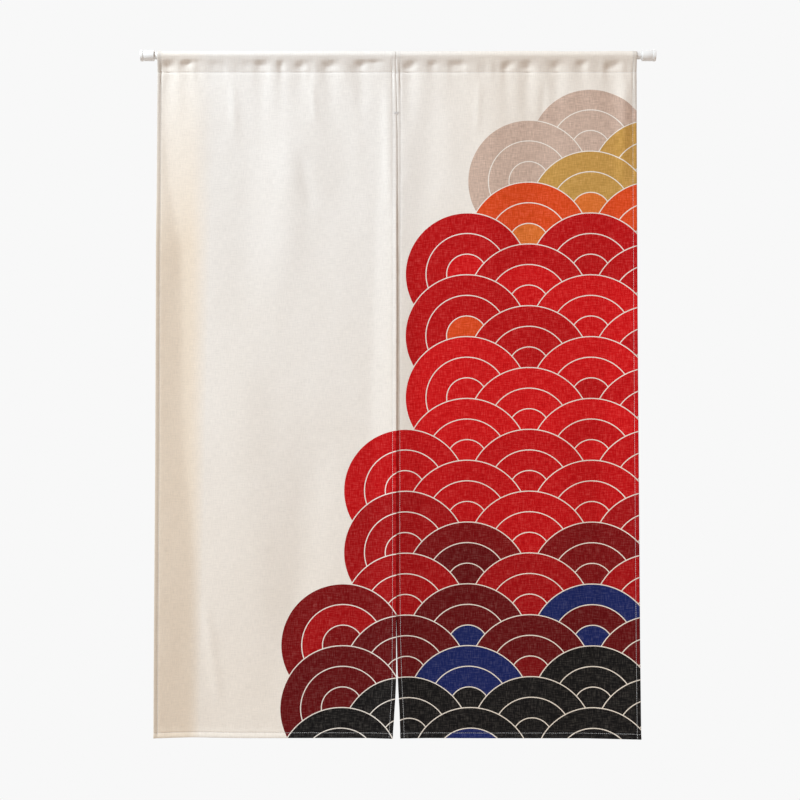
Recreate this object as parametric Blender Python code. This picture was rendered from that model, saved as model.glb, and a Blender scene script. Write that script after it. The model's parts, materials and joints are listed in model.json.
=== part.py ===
"""Noren: a doorway curtain of two linen panels that hang side by side on one rod.

The origin is the centre of the left cap's outer face. +X runs along the rod to the right, -Y is the
front of the cloth and +Z is up. Every size is in metres.
"""

from collections import namedtuple
from math import cos, pi, radians, sin, sqrt

import bmesh
import bpy
import numpy as np

# Driving sizes
ROD_LENGTH = 0.900
ROD_RADIUS = 0.0065
ROD_SIDES = 24
CURTAIN_HEIGHT = 1.200
CASING_DEPTH = 0.0375
CLOTH = 0.0012
CLEARANCE = 0.0003

# Rod caps
CAP_LENGTH = 0.024
CAP_RADIUS = 0.0095
CAP_FOOT_LENGTH = 0.005
CAP_FOOT_RADIUS = 0.010
CAP_GROOVE = 0.0007
CAP_EDGE = 0.0006
SOCKET_DEPTH = 0.018
CAP_STEPS = 32

# Hems, which are two layers of the cloth
HEM_CLOTH = 2 * CLOTH
SIDE_HEM = 0.008
BOTTOM_HEM = 0.0095
HEM_STEP = 0.001
CASING_TURN = 0.002

# How finely each panel is divided
COLUMNS = 36
SKIRT_ROWS = 15
WALL_STEPS = 7
ARC_STEPS = 7

# The four upright edges of the two panels: how far each lies from the origin at a drop below the
# curtain's top edge. The inner two are the sides of the slit, sewn together over the first 110 mm.
Edge = namedtuple("Edge", "drop left_outer left_inner right_inner right_outer")
EDGES = (
    Edge(drop=0.000, left_outer=0.0297, left_inner=0.4459, right_inner=0.4464, right_outer=0.8665),
    Edge(drop=0.110, left_outer=0.0292, left_inner=0.4474, right_inner=0.4479, right_outer=0.8666),
    Edge(drop=0.270, left_outer=0.0286, left_inner=0.4474, right_inner=0.4478, right_outer=0.8670),
    Edge(drop=0.360, left_outer=0.0283, left_inner=0.4475, right_inner=0.4467, right_outer=0.8673),
    Edge(drop=0.700, left_outer=0.0272, left_inner=0.4472, right_inner=0.4464, right_outer=0.8690),
    Edge(drop=0.960, left_outer=0.0263, left_inner=0.4470, right_inner=0.4468, right_outer=0.8707),
    Edge(drop=1.040, left_outer=0.0259, left_inner=0.4466, right_inner=0.4480, right_outer=0.8713),
    Edge(drop=1.115, left_outer=0.0255, left_inner=0.4458, right_inner=0.4504, right_outer=0.8720),
    Edge(drop=1.150, left_outer=0.0253, left_inner=0.4437, right_inner=0.4524, right_outer=0.8724),
    Edge(drop=1.200, left_outer=0.0250, left_inner=0.4405, right_inner=0.4539, right_outer=0.8730),
)

# An upright edge curls towards the front over a strip of this width.
Curl = namedtuple("Curl", "drop width forward")
LEFT_OUTER_CURL = (
    Curl(drop=0.040, width=0.010, forward=0.0012),
    Curl(drop=0.150, width=0.013, forward=0.0026),
    Curl(drop=0.250, width=0.024, forward=0.0048),
    Curl(drop=0.330, width=0.040, forward=0.0110),
    Curl(drop=0.435, width=0.044, forward=0.0120),
    Curl(drop=0.700, width=0.049, forward=0.0126),
    Curl(drop=0.960, width=0.072, forward=0.0196),
    Curl(drop=1.100, width=0.070, forward=0.0212),
    Curl(drop=1.200, width=0.066, forward=0.0195),
)
LEFT_INNER_CURL = (
    Curl(drop=0.040, width=0.030, forward=0.0000),
    Curl(drop=0.110, width=0.032, forward=0.0006),
    Curl(drop=0.250, width=0.036, forward=0.0040),
    Curl(drop=0.600, width=0.042, forward=0.0087),
    Curl(drop=1.200, width=0.040, forward=0.0086),
)
RIGHT_INNER_CURL = (
    Curl(drop=0.040, width=0.030, forward=0.0000),
    Curl(drop=0.110, width=0.034, forward=0.0004),
    Curl(drop=0.250, width=0.036, forward=0.0014),
    Curl(drop=0.600, width=0.042, forward=0.0056),
    Curl(drop=1.200, width=0.046, forward=0.0054),
)
RIGHT_OUTER_CURL = (
    Curl(drop=0.040, width=0.022, forward=0.0000),
    Curl(drop=0.300, width=0.040, forward=0.0040),
    Curl(drop=0.700, width=0.062, forward=0.0100),
    Curl(drop=1.200, width=0.092, forward=0.0145),
)
CURL_SOFTNESS = 0.16

# Soft upright folds below the casing: forward is a ridge, and a negative forward is a trough. A fold
# leans sideways by lean over its length. It swells over the first share of it and dies away over the last.
FOLD_SWELLS = 0.3
FOLD_FADES = 0.4
Fold = namedtuple("Fold", "x half_width top bottom lean forward")
LEFT_FOLDS = (
    Fold(x=0.098, half_width=0.030, top=0.03, bottom=0.42, lean=0.010, forward=0.0012),
    Fold(x=0.205, half_width=0.036, top=0.03, bottom=0.58, lean=-0.030, forward=-0.0021),
    Fold(x=0.268, half_width=0.026, top=0.10, bottom=0.45, lean=-0.016, forward=0.0019),
    Fold(x=0.345, half_width=0.030, top=0.03, bottom=0.36, lean=0.012, forward=-0.0017),
    Fold(x=0.175, half_width=0.060, top=0.45, bottom=1.16, lean=0.020, forward=0.0032),
    Fold(x=0.305, half_width=0.042, top=0.62, bottom=1.19, lean=-0.052, forward=-0.0036),
    Fold(x=0.430, half_width=0.008, top=0.02, bottom=0.30, lean=0.004, forward=0.0014),
)
RIGHT_FOLDS = (
    Fold(x=0.507, half_width=0.026, top=0.03, bottom=0.34, lean=-0.010, forward=-0.0018),
    Fold(x=0.600, half_width=0.036, top=0.03, bottom=0.52, lean=0.018, forward=0.0021),
    Fold(x=0.705, half_width=0.034, top=0.03, bottom=0.44, lean=-0.016, forward=-0.0021),
    Fold(x=0.846, half_width=0.011, top=0.02, bottom=0.26, lean=-0.004, forward=0.0030),
    Fold(x=0.640, half_width=0.070, top=0.48, bottom=1.18, lean=-0.030, forward=-0.0034),
    Fold(x=0.735, half_width=0.038, top=0.55, bottom=1.15, lean=0.034, forward=0.0028),
)

# Dimples where the casing's front wall is drawn in towards its back wall below the rod. A pinch of 1
# would reach it. Each one leans sideways by lean for each metre down, deepens over its fall below the
# rod, and pulls the cloth under the stitch line in a little too.
Dimple = namedtuple("Dimple", "x half_width lean fall pinch")
LEFT_DIMPLES = (
    Dimple(x=0.0480, half_width=0.0100, lean=0.0, fall=0.0130, pinch=0.86),
    Dimple(x=0.0800, half_width=0.0085, lean=-0.3, fall=0.0080, pinch=0.58),
    Dimple(x=0.0940, half_width=0.0120, lean=0.0, fall=0.0060, pinch=0.16),
    Dimple(x=0.1320, half_width=0.0120, lean=0.3, fall=0.0100, pinch=0.20),
    Dimple(x=0.1860, half_width=0.0100, lean=0.0, fall=0.0110, pinch=0.22),
    Dimple(x=0.2114, half_width=0.0090, lean=0.2, fall=0.0100, pinch=0.70),
    Dimple(x=0.2455, half_width=0.0062, lean=0.0, fall=0.0110, pinch=0.46),
    Dimple(x=0.2804, half_width=0.0100, lean=-0.3, fall=0.0130, pinch=0.60),
    Dimple(x=0.3319, half_width=0.0105, lean=0.0, fall=0.0115, pinch=0.72),
    Dimple(x=0.3860, half_width=0.0085, lean=0.0, fall=0.0095, pinch=0.72),
    Dimple(x=0.4080, half_width=0.0130, lean=0.0, fall=0.0055, pinch=0.32),
)
RIGHT_DIMPLES = (
    Dimple(x=0.4690, half_width=0.0100, lean=-0.5, fall=0.0150, pinch=0.85),
    Dimple(x=0.5110, half_width=0.0090, lean=0.0, fall=0.0095, pinch=0.44),
    Dimple(x=0.5547, half_width=0.0150, lean=0.0, fall=0.0105, pinch=0.56),
    Dimple(x=0.6410, half_width=0.0090, lean=-0.5, fall=0.0135, pinch=0.64),
    Dimple(x=0.6752, half_width=0.0090, lean=0.1, fall=0.0150, pinch=0.85),
    Dimple(x=0.7258, half_width=0.0090, lean=0.0, fall=0.0145, pinch=0.76),
    Dimple(x=0.7712, half_width=0.0085, lean=0.0, fall=0.0090, pinch=0.50),
    Dimple(x=0.8230, half_width=0.0120, lean=-0.7, fall=0.0145, pinch=0.74),
)
MOST_PINCH = 0.86
PULL_DEPTH = 0.0036
PULL_WIDENING = 1.4
PULL_LENGTH = 0.070

# A panel's hem hangs at left_drop at its left corner and levels out at right_drop.
HEM_BEND = 0.4
Panel = namedtuple("Panel", "name left right left_curl right_curl folds dimples left_drop right_drop")
PANELS = (
    Panel(
        name="panel_left",
        left="left_outer",
        right="left_inner",
        left_curl=LEFT_OUTER_CURL,
        right_curl=LEFT_INNER_CURL,
        folds=LEFT_FOLDS,
        dimples=LEFT_DIMPLES,
        left_drop=CURTAIN_HEIGHT - 0.0030,
        right_drop=CURTAIN_HEIGHT - 0.0004,
    ),
    Panel(
        name="panel_right",
        left="right_inner",
        right="right_outer",
        left_curl=RIGHT_INNER_CURL,
        right_curl=RIGHT_OUTER_CURL,
        folds=RIGHT_FOLDS,
        dimples=RIGHT_DIMPLES,
        left_drop=CURTAIN_HEIGHT - 0.0006,
        right_drop=CURTAIN_HEIGHT,
    ),
)

# The casing's walls leave its arc this far below the rod's middle, as an angle. The front wall then
# draws in, steeply at first. The arc has straight sides, so its corners stand out a little to keep them
# clear of the rod.
WALL_TOP = 0.4
WALL_DRAW = 1.6
ARC_STEP = (pi + 2 * WALL_TOP) / ARC_STEPS
CASING_INSIDE = (ROD_RADIUS + CLEARANCE) / cos(ARC_STEP / 2)
TOP_Z = CASING_INSIDE + CLOTH
STITCH_Z = TOP_Z - CASING_DEPTH
CASING_END_Z = STITCH_Z - CASING_TURN
CASING_FRONT_DROP = TOP_Z + (CASING_INSIDE + CLOTH / 2) * sin(WALL_TOP)


def clear_scene():
    for thing in list(bpy.data.objects):
        bpy.data.objects.remove(thing, do_unlink=True)


def painted(name, colour, roughness, metallic=0.0):
    """A plain finish of one colour."""
    material = bpy.data.materials.new(name)
    material.use_nodes = True
    shader = material.node_tree.nodes["Principled BSDF"]
    shader.inputs["Base Color"].default_value = (*colour, 1.0)
    shader.inputs["Roughness"].default_value = roughness
    shader.inputs["Metallic"].default_value = metallic
    return material


def add_object(name, mesh, material):
    thing = bpy.data.objects.new(name, mesh)
    mesh.materials.append(material)
    bpy.context.scene.collection.objects.link(thing)
    return thing


def finished_mesh(name, shape):
    """A mesh from a bmesh whose faces are turned to point out."""
    bmesh.ops.recalc_face_normals(shape, faces=shape.faces)
    mesh = bpy.data.meshes.new(name)
    shape.to_mesh(mesh)
    shape.free()
    return mesh


def between_rows(rows, column, drop):
    """One column of a table of rows by drop, read along a smooth curve through the rows."""
    place = np.array([row.drop for row in rows])
    value = np.array([getattr(row, column) for row in rows])
    slope = np.gradient(value, place)
    row = np.clip(np.searchsorted(place, drop) - 1, 0, len(rows) - 2)
    step = place[row + 1] - place[row]
    t = np.clip((drop - place[row]) / step, 0.0, 1.0)
    start = value[row] * (1 + 2 * t) * (1 - t) ** 2 + slope[row] * step * t * (1 - t) ** 2
    end = value[row + 1] * t**2 * (3 - 2 * t) - slope[row + 1] * step * t**2 * (1 - t)
    return start + end


def smooth_step(t):
    t = np.clip(t, 0.0, 1.0)
    return t * t * (3 - 2 * t)


def bell(distance, half_width):
    return np.exp(-((distance / half_width) ** 2))


def curl(rows, distance, drop):
    """How far an upright edge's curl stands forward at a distance in from that edge."""
    inwards = 1 - distance / between_rows(rows, "width", drop)
    rounded = (inwards + np.sqrt(inwards**2 + CURL_SOFTNESS**2)) / 2
    at_edge = (1 + np.sqrt(1 + CURL_SOFTNESS**2)) / 2
    return between_rows(rows, "forward", drop) * rounded / at_edge


def fold(row, x, drop):
    """How far one soft fold stands forward."""
    along = (drop - row.top) / (row.bottom - row.top)
    swell = smooth_step(along / FOLD_SWELLS) * smooth_step((1 - along) / FOLD_FADES)
    centre = row.x + row.lean * np.clip(along, 0.0, 1.0)
    return row.forward * swell * bell(x - centre, row.half_width)


def dimple_pull(row, x, drop):
    """How far one dimple draws the cloth back at and below the stitch line."""
    below = np.maximum(drop - CASING_DEPTH, 0.0)
    across = bell(x - row.x, PULL_WIDENING * row.half_width)
    return PULL_DEPTH * row.pinch**2 * across * bell(below, PULL_LENGTH)


def pinched(panel, x, drop):
    """How far the casing's front wall is drawn in, as a share of the way to its back wall."""
    below = drop - CASING_FRONT_DROP
    pinch = 0.0
    for row in panel.dimples:
        centre = row.x + row.lean * (below - row.fall)
        pinch = pinch + row.pinch * bell(x - centre, row.half_width) * smooth_step(below / row.fall)
    return np.minimum(pinch, MOST_PINCH)


def skirt_y(panel, x, drop):
    """Where the middle of the cloth lies, front to back, at a place below the casing."""
    left = between_rows(EDGES, panel.left, drop)
    right = between_rows(EDGES, panel.right, drop)
    forward = curl(panel.left_curl, x - left, drop) + curl(panel.right_curl, right - x, drop)
    forward += sum(fold(row, x, drop) for row in panel.folds)
    forward -= sum(dimple_pull(row, x, drop) for row in panel.dimples)
    return -forward


def casing_middle(panel, x):
    """The casing's section at x, up its front wall, over the rod and down its back wall: (y, z, outward
    y, outward z). The front wall stays clear of the rod however far a dimple draws it in."""
    front_foot = float(skirt_y(panel, x, CASING_DEPTH))
    back_foot = front_foot + CLOTH
    radius = CASING_INSIDE + CLOTH / 2
    wall_y, top_z = radius * cos(WALL_TOP), -radius * sin(WALL_TOP)
    front, back = [], []
    for t in np.linspace(0.0, 1.0, WALL_STEPS, endpoint=False):
        z = STITCH_Z + (top_z - STITCH_Z) * t
        front_y = front_foot + (-wall_y - front_foot) * t**WALL_DRAW
        back_y = back_foot + (wall_y - back_foot) * t
        front_y += (back_y - CLOTH - front_y) * float(pinched(panel, x, TOP_Z - z))
        if z > -radius:
            front_y = min(front_y, -sqrt((radius + CLEARANCE) ** 2 - z**2))
        front.append((front_y, z, -1, 0.0))
        back.append((back_y, z, 1, 0.0))
    arc = []
    for step in range(ARC_STEPS + 1):
        turn = ARC_STEP * step - WALL_TOP
        arc.append((-radius * cos(turn), radius * sin(turn), -cos(turn), sin(turn)))
    return front + arc + back[::-1]


def hem_line(panel, share):
    """The drop of the hem's lower edge, from the panel's left edge at share 0 to its right at 1."""
    return panel.left_drop + (panel.right_drop - panel.left_drop) * smooth_step(share / HEM_BEND)


def column_shares(width):
    """Where the panel's columns stand across it, closer together at the two side hems."""
    edge = [0.0, SIDE_HEM / width, (SIDE_HEM + HEM_STEP) / width]
    middle = np.linspace(edge[-1], 1 - edge[-1], COLUMNS + 1)[1:-1]
    return [*edge, *middle, *(1 - place for place in reversed(edge))]


def skirt_drops(hem):
    """The drops of the rows below the casing, from the hem's lower edge up."""
    start = TOP_Z - CASING_END_Z
    above_hem = hem - BOTTOM_HEM - HEM_STEP
    rows = np.linspace(start, above_hem, SKIRT_ROWS + 1)
    return [hem, hem - BOTTOM_HEM, *rows[::-1]]


def column_rings(panel, share, columns):
    """The outer and inner rings of corners of the panel's section at one column."""

    def x_at(drop):
        left = float(between_rows(EDGES, panel.left, drop))
        return left + (float(between_rows(EDGES, panel.right, drop)) - left) * share

    at_hem = share <= columns[1] or share >= columns[-2]
    front, back = [], []
    for row, drop in enumerate(skirt_drops(float(hem_line(panel, share)))):
        x = x_at(drop)
        y = float(skirt_y(panel, x, drop))
        thickness = HEM_CLOTH if at_hem or row < 2 else CLOTH
        front.append((x, y - CLOTH / 2, TOP_Z - drop))
        back.append((x, y - CLOTH / 2 + thickness, TOP_Z - drop))
    x = x_at(CASING_DEPTH)
    section = casing_middle(panel, x)
    half = CLOTH / 2
    outside = [(x_at(TOP_Z - z), y + half * ny, z + half * nz) for y, z, ny, nz in section[1:-1]]
    inside = [(x_at(TOP_Z - z), y - half * ny, z - half * nz) for y, z, ny, nz in section[1:-1]]
    tunnel_foot = (x, section[0][0] + half, STITCH_Z)
    casing_foot = (front[-1][0], back[-1][1] + CLOTH, CASING_END_Z)
    return front, outside, [casing_foot], back[::-1], [tunnel_foot, *inside]


def panel_shape(panel):
    """One panel as a closed solid: its skirt, and the casing that runs round the rod."""
    width = getattr(EDGES[0], panel.right) - getattr(EDGES[0], panel.left)
    columns = column_shares(width)
    shape = bmesh.new()
    outer, inner, counts = [], [], None
    for share in columns:
        front, outside, foot, back, tunnel = column_rings(panel, share, columns)
        counts = (len(front), len(outside))
        outer.append([shape.verts.new(corner) for corner in (*front, *outside, *foot, *back)])
        inner.append([shape.verts.new(corner) for corner in tunnel])
    for rings in (outer, inner):
        for here, there in zip(rings, rings[1:]):
            for k in range(len(here)):
                shape.faces.new((here[k - 1], here[k], there[k], there[k - 1]))
    for ring, tunnel in ((outer[0], inner[0]), (outer[-1], inner[-1])):
        close_end(shape, ring, tunnel, *counts)
    return finished_mesh(panel.name, shape)


def close_end(shape, ring, tunnel, rows, casing):
    """The face at a panel's upright edge, which runs round the mouth of the casing."""
    front, back = ring[:rows], ring[rows + casing + 1 :][::-1]
    walls = ring[rows - 1 : rows + casing + 1]
    mouth = [*tunnel, tunnel[0]]
    for k in range(rows - 1):
        shape.faces.new((front[k], front[k + 1], back[k + 1], back[k]))
    for k in range(casing + 1):
        shape.faces.new((walls[k], walls[k + 1], mouth[k + 1], mouth[k]))
    shape.faces.new((front[-1], tunnel[0], back[-1]))
    shape.faces.new((back[-1], tunnel[0], walls[-1]))


def build_panels(linen):
    for panel in PANELS:
        add_object(panel.name, panel_shape(panel), linen)


def build_rod(steel):
    """The tube, from the bottom of one cap's socket to the other's."""
    shape = bmesh.new()
    length = ROD_LENGTH - 2 * (CAP_LENGTH - SOCKET_DEPTH + CLEARANCE)
    bmesh.ops.create_cone(
        shape, cap_ends=True, segments=ROD_SIDES, radius1=ROD_RADIUS, radius2=ROD_RADIUS, depth=length
    )
    mesh = finished_mesh("rod", shape)
    mesh.shade_smooth()
    mesh.set_sharp_from_angle(angle=radians(40))
    rod = add_object("rod", mesh, steel)
    rod.location = (ROD_LENGTH / 2, 0.0, 0.0)
    rod.rotation_euler = (0.0, pi / 2, 0.0)


def cap_mesh():
    """A turned cap: a foot, a groove, a sleeve and the socket that the rod's end sits in."""
    groove_end = CAP_FOOT_LENGTH + CAP_GROOVE
    socket_radius = (ROD_RADIUS + CLEARANCE) / cos(pi / CAP_STEPS)
    profile = (
        (0.0, 0.0),
        (0.0, CAP_FOOT_RADIUS - CAP_EDGE),
        (CAP_EDGE, CAP_FOOT_RADIUS),
        (CAP_FOOT_LENGTH, CAP_FOOT_RADIUS),
        (CAP_FOOT_LENGTH, CAP_RADIUS - CAP_GROOVE),
        (groove_end, CAP_RADIUS - CAP_GROOVE),
        (groove_end, CAP_RADIUS),
        (CAP_LENGTH - CAP_EDGE, CAP_RADIUS),
        (CAP_LENGTH, CAP_RADIUS - CAP_EDGE),
        (CAP_LENGTH, socket_radius),
        (CAP_LENGTH - SOCKET_DEPTH, socket_radius),
        (CAP_LENGTH - SOCKET_DEPTH, 0.0),
    )
    shape = bmesh.new()
    corners = [shape.verts.new((x, 0.0, radius)) for x, radius in profile]
    edges = [shape.edges.new(pair) for pair in zip(corners, corners[1:])]
    bmesh.ops.spin(
        shape,
        geom=[*corners, *edges],
        cent=(0.0, 0.0, 0.0),
        axis=(1.0, 0.0, 0.0),
        angle=2 * pi,
        steps=CAP_STEPS,
        use_merge=True,
    )
    bmesh.ops.remove_doubles(shape, verts=shape.verts, dist=1e-6)
    mesh = finished_mesh("rod_cap", shape)
    mesh.shade_smooth()
    mesh.set_sharp_from_angle(angle=radians(30))
    return mesh


def build_caps(plastic):
    mesh = cap_mesh()
    mesh.materials.append(plastic)
    for name, x, turn in (("cap_left", 0.0, 0.0), ("cap_right", ROD_LENGTH, pi)):
        cap = bpy.data.objects.new(name, mesh)
        cap.location = (x, 0.0, 0.0)
        cap.rotation_euler = (0.0, 0.0, turn)
        bpy.context.scene.collection.objects.link(cap)


def main():
    clear_scene()
    build_rod(painted("white_enamelled_steel", (0.86, 0.86, 0.85), 0.35))
    build_caps(painted("white_moulded_plastic", (0.90, 0.90, 0.89), 0.45))
    build_panels(painted("natural_linen_canvas", (0.80, 0.74, 0.67), 0.90))


main()
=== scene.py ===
"""Noren: the looks of a doorway curtain of two printed linen panels that share one white rod.

The frame's origin is the centre of the left cap's outer face. +X runs along the rod to the right, -Y is
the front of the cloth and +Z is up. Every size is in metres.
"""

import json
from collections import namedtuple
from functools import partial
from math import cos, pi, radians, sin, sqrt

import bmesh
import bpy
import numpy as np
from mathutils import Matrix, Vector

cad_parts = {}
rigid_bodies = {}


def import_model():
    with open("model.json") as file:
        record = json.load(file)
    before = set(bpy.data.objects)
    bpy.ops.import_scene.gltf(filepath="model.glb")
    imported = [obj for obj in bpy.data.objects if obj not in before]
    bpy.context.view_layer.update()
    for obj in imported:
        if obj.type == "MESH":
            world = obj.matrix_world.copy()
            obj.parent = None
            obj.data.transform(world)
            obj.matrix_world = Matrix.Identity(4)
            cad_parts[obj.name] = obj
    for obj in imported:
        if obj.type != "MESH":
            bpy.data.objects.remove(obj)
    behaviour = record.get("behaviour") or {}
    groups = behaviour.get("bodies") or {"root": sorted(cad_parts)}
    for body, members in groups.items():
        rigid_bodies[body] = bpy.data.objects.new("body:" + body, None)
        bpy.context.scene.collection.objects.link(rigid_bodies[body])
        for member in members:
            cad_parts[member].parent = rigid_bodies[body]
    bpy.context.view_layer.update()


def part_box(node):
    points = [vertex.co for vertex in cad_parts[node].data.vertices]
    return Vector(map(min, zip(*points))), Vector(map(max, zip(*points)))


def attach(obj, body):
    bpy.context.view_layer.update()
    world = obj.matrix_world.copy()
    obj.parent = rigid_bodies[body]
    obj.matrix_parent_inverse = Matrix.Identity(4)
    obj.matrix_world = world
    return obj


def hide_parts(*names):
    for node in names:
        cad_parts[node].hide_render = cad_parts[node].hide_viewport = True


bl_info = {
    "name": "Noren curtain",
    "version": (1, 0, 0),
    "blender": (4, 5, 0),
    "location": "3D View > Sidebar > Noren",
    "description": "Dresses the frame of a two-panel linen doorway curtain and its rod",
    "category": "Object",
}

for thing in list(bpy.data.objects):
    bpy.data.objects.remove(thing, do_unlink=True)
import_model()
ROD_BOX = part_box("rod")
LEFT_CAP_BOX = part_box("cap_left")
RIGHT_CAP_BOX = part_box("cap_right")
TOP_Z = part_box("panel_left")[1].z

# Sizes of the curtain. CASING_MIDDLE is how far the middle of the casing's cloth lies from the rod's
# axis, as it does in the solids. The casing's turned edge ends CASING_TURN below the stitch line.
CAD_CLOTH = 0.0012
CURTAIN_HEIGHT = 1.200
CASING_DEPTH = 0.0375
CASING_TURN = 0.002
CASING_MIDDLE = TOP_Z - CAD_CLOTH / 2
SIDE_HEM = 0.008
BOTTOM_HEM = 0.0095
TURNED_EDGE = 0.008
STITCH_Z = TOP_Z - CASING_DEPTH
CASING_END_Z = STITCH_Z - CASING_TURN

# The casing's front wall leaves the rod at an angle of WALL_TOP below its middle. From there it draws in
# towards the stitch line, a share of it along an S-curve. Its dimples start a little lower.
WALL_TOP = 0.1
WALL_DRAW = 1.3
WALL_SWEEP = 0.2
DIMPLE_START = 0.0056
DIMPLE_FALL = 1.2
CASING_FRONT_DROP = TOP_Z + CASING_MIDDLE * sin(WALL_TOP)

# Where the machine stitching runs in from an edge, and the grooves that it draws into the cloth. The
# cloth swells between a line of stitches and its edge, and does both more where it is gathered at the top.
SIDE_STITCH = 0.0066
HEM_STITCH = 0.0082
GROOVE_WIDTH = 0.0012
SIDE_GROOVE = 0.00050
HEM_GROOVE = 0.0010
CASING_GROOVE = 0.00035
CASING_GROOVE_DIMPLED = 2.4
HEM_SWELL = 0.00035
GATHER = 1.0
GATHERED_TO = 0.105
GATHERED_OVER = 0.060

# The stiff bottom hem kicks forward over its last few millimetres.
HEM_KICK = 0.0040
HEM_KICK_HEIGHT = 0.018

# How much of the hems' painted shade their flat part and the slit's two edges take, beside the folded edge's
# 1
HEM_SHADE = 0.15
INNER_SHADE = 0.25
FOLDED_EDGE = 0.0014

# The bar tack that ends the seam above the slit
SEAM_END = 0.110
TACK_ROWS = 7
TACK_PITCH = 0.0006

# How the layers of a hem lie: the air between them, how far in from a side hem they ease back to one, and
# how much prouder the casing stands over them, so that they clear the rod
LAYER_GAP = 0.00012
COVER_EASE = 0.006
CASING_HEM_LIFT = 0.00028

# How finely a panel is divided, with extra columns and rows beside its seams. Edges of cloth and of
# turned pieces stay sharp where they bend more than these many degrees.
MAIN_COLUMNS = 122
FLAP_STEPS = 3
BEND_STEPS = 7
ROW_PITCH = 0.0054
WALL_STEPS = 20
ARC_STEPS = 14
BACK_STEPS = 12
SHARP_CLOTH = 55
SHARP_TURNED = 32
NEAR_SIDE = (0.0022, 0.0046, SIDE_STITCH, SIDE_HEM, 0.0098)
NEAR_HEM = (0.0030, 0.0058, HEM_STITCH, BOTTOM_HEM, 0.0112, 0.0150)
NEAR_CASING = tuple(CASING_DEPTH + below for below in (0.0100, 0.0060, 0.0030, 0.0012, 0.0))


def table(kind, *rows):
    return tuple(kind(*row) for row in rows)


# The four upright edges of the two panels: how far each lies from the origin at a drop below the
# curtain's top edge. The inner two are the sides of the slit, sewn together over the first 110 mm.
Edge = namedtuple("Edge", "drop left_outer left_inner right_inner right_outer")
EDGES = table(
    Edge,
    (0.000, 0.0297, 0.4459, 0.4464, 0.8665),
    (0.110, 0.0292, 0.4474, 0.4479, 0.8666),
    (0.270, 0.0286, 0.4474, 0.4478, 0.8670),
    (0.360, 0.0283, 0.4475, 0.4467, 0.8673),
    (0.700, 0.0272, 0.4472, 0.4464, 0.8690),
    (0.960, 0.0263, 0.4470, 0.4468, 0.8707),
    (1.040, 0.0259, 0.4466, 0.4480, 0.8713),
    (1.115, 0.0255, 0.4458, 0.4504, 0.8720),
    (1.150, 0.0253, 0.4437, 0.4524, 0.8724),
    (1.200, 0.0250, 0.4405, 0.4539, 0.8730),
)

# An upright edge curls towards the front over a strip of this width.
Curl = namedtuple("Curl", "drop width forward")
LEFT_OUTER_CURL = table(
    Curl,
    (0.040, 0.010, 0.0012),
    (0.150, 0.013, 0.0026),
    (0.250, 0.024, 0.0048),
    (0.330, 0.040, 0.0110),
    (0.435, 0.044, 0.0120),
    (0.700, 0.049, 0.0126),
    (0.960, 0.072, 0.0196),
    (1.100, 0.070, 0.0212),
    (1.200, 0.066, 0.0195),
)
LEFT_INNER_CURL = table(
    Curl,
    (0.040, 0.030, 0.0000),
    (0.110, 0.032, 0.0006),
    (0.250, 0.036, 0.0040),
    (0.600, 0.042, 0.0087),
    (1.200, 0.040, 0.0086),
)
RIGHT_INNER_CURL = table(
    Curl,
    (0.040, 0.030, 0.0000),
    (0.110, 0.034, 0.0004),
    (0.250, 0.036, 0.0022),
    (0.600, 0.042, 0.0066),
    (1.200, 0.046, 0.0064),
)
RIGHT_OUTER_CURL = table(
    Curl,
    (0.040, 0.022, 0.0000),
    (0.300, 0.040, 0.0040),
    (0.700, 0.062, 0.0100),
    (1.200, 0.092, 0.0145),
)
CURL_SOFTNESS = 0.16

# Soft upright folds below the casing: forward is a ridge, and a negative forward is a trough. A fold
# leans sideways by lean over its length. It swells over the first share of it and dies away over the last.
FOLD_SWELLS = 0.3
FOLD_FADES = 0.4
Fold = namedtuple("Fold", "x half_width top bottom lean forward")
LEFT_FOLDS = table(
    Fold,
    (0.098, 0.030, 0.03, 0.42, 0.010, 0.0012),
    (0.205, 0.036, 0.03, 0.58, -0.030, -0.0021),
    (0.268, 0.026, 0.10, 0.45, -0.016, 0.0019),
    (0.345, 0.030, 0.03, 0.36, 0.012, -0.0017),
    (0.175, 0.060, 0.45, 1.16, 0.020, 0.0032),
    (0.305, 0.042, 0.62, 1.19, -0.052, -0.0036),
    (0.430, 0.008, 0.02, 0.30, 0.004, 0.0014),
)
RIGHT_FOLDS = table(
    Fold,
    (0.507, 0.026, 0.03, 0.34, -0.010, -0.0018),
    (0.600, 0.036, 0.03, 0.52, 0.018, 0.0021),
    (0.705, 0.034, 0.03, 0.44, -0.016, -0.0021),
    (0.846, 0.011, 0.02, 0.26, -0.004, 0.0030),
    (0.640, 0.070, 0.48, 1.18, -0.030, -0.0034),
    (0.735, 0.038, 0.55, 1.15, 0.034, 0.0028),
)

# Dimples where the casing's front wall is drawn in towards its back wall below the rod. A pinch of 1
# would reach it. Each one leans sideways by lean for each metre down, deepens over DIMPLE_FALL times
# its fall, and pulls the cloth under the stitch line in a little too.
Dimple = namedtuple("Dimple", "x half_width lean fall pinch")
LEFT_DIMPLES = table(
    Dimple,
    (0.0480, 0.0100, 0.0, 0.0130, 0.86),
    (0.0800, 0.0085, -0.3, 0.0080, 0.58),
    (0.0940, 0.0120, 0.0, 0.0060, 0.16),
    (0.1320, 0.0120, 0.3, 0.0100, 0.20),
    (0.1860, 0.0100, 0.0, 0.0110, 0.22),
    (0.2114, 0.0090, 0.2, 0.0100, 0.70),
    (0.2455, 0.0062, 0.0, 0.0110, 0.46),
    (0.2804, 0.0100, -0.3, 0.0130, 0.60),
    (0.3319, 0.0105, 0.0, 0.0115, 0.72),
    (0.3860, 0.0085, 0.0, 0.0095, 0.72),
    (0.4080, 0.0130, 0.0, 0.0055, 0.32),
)
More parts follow.
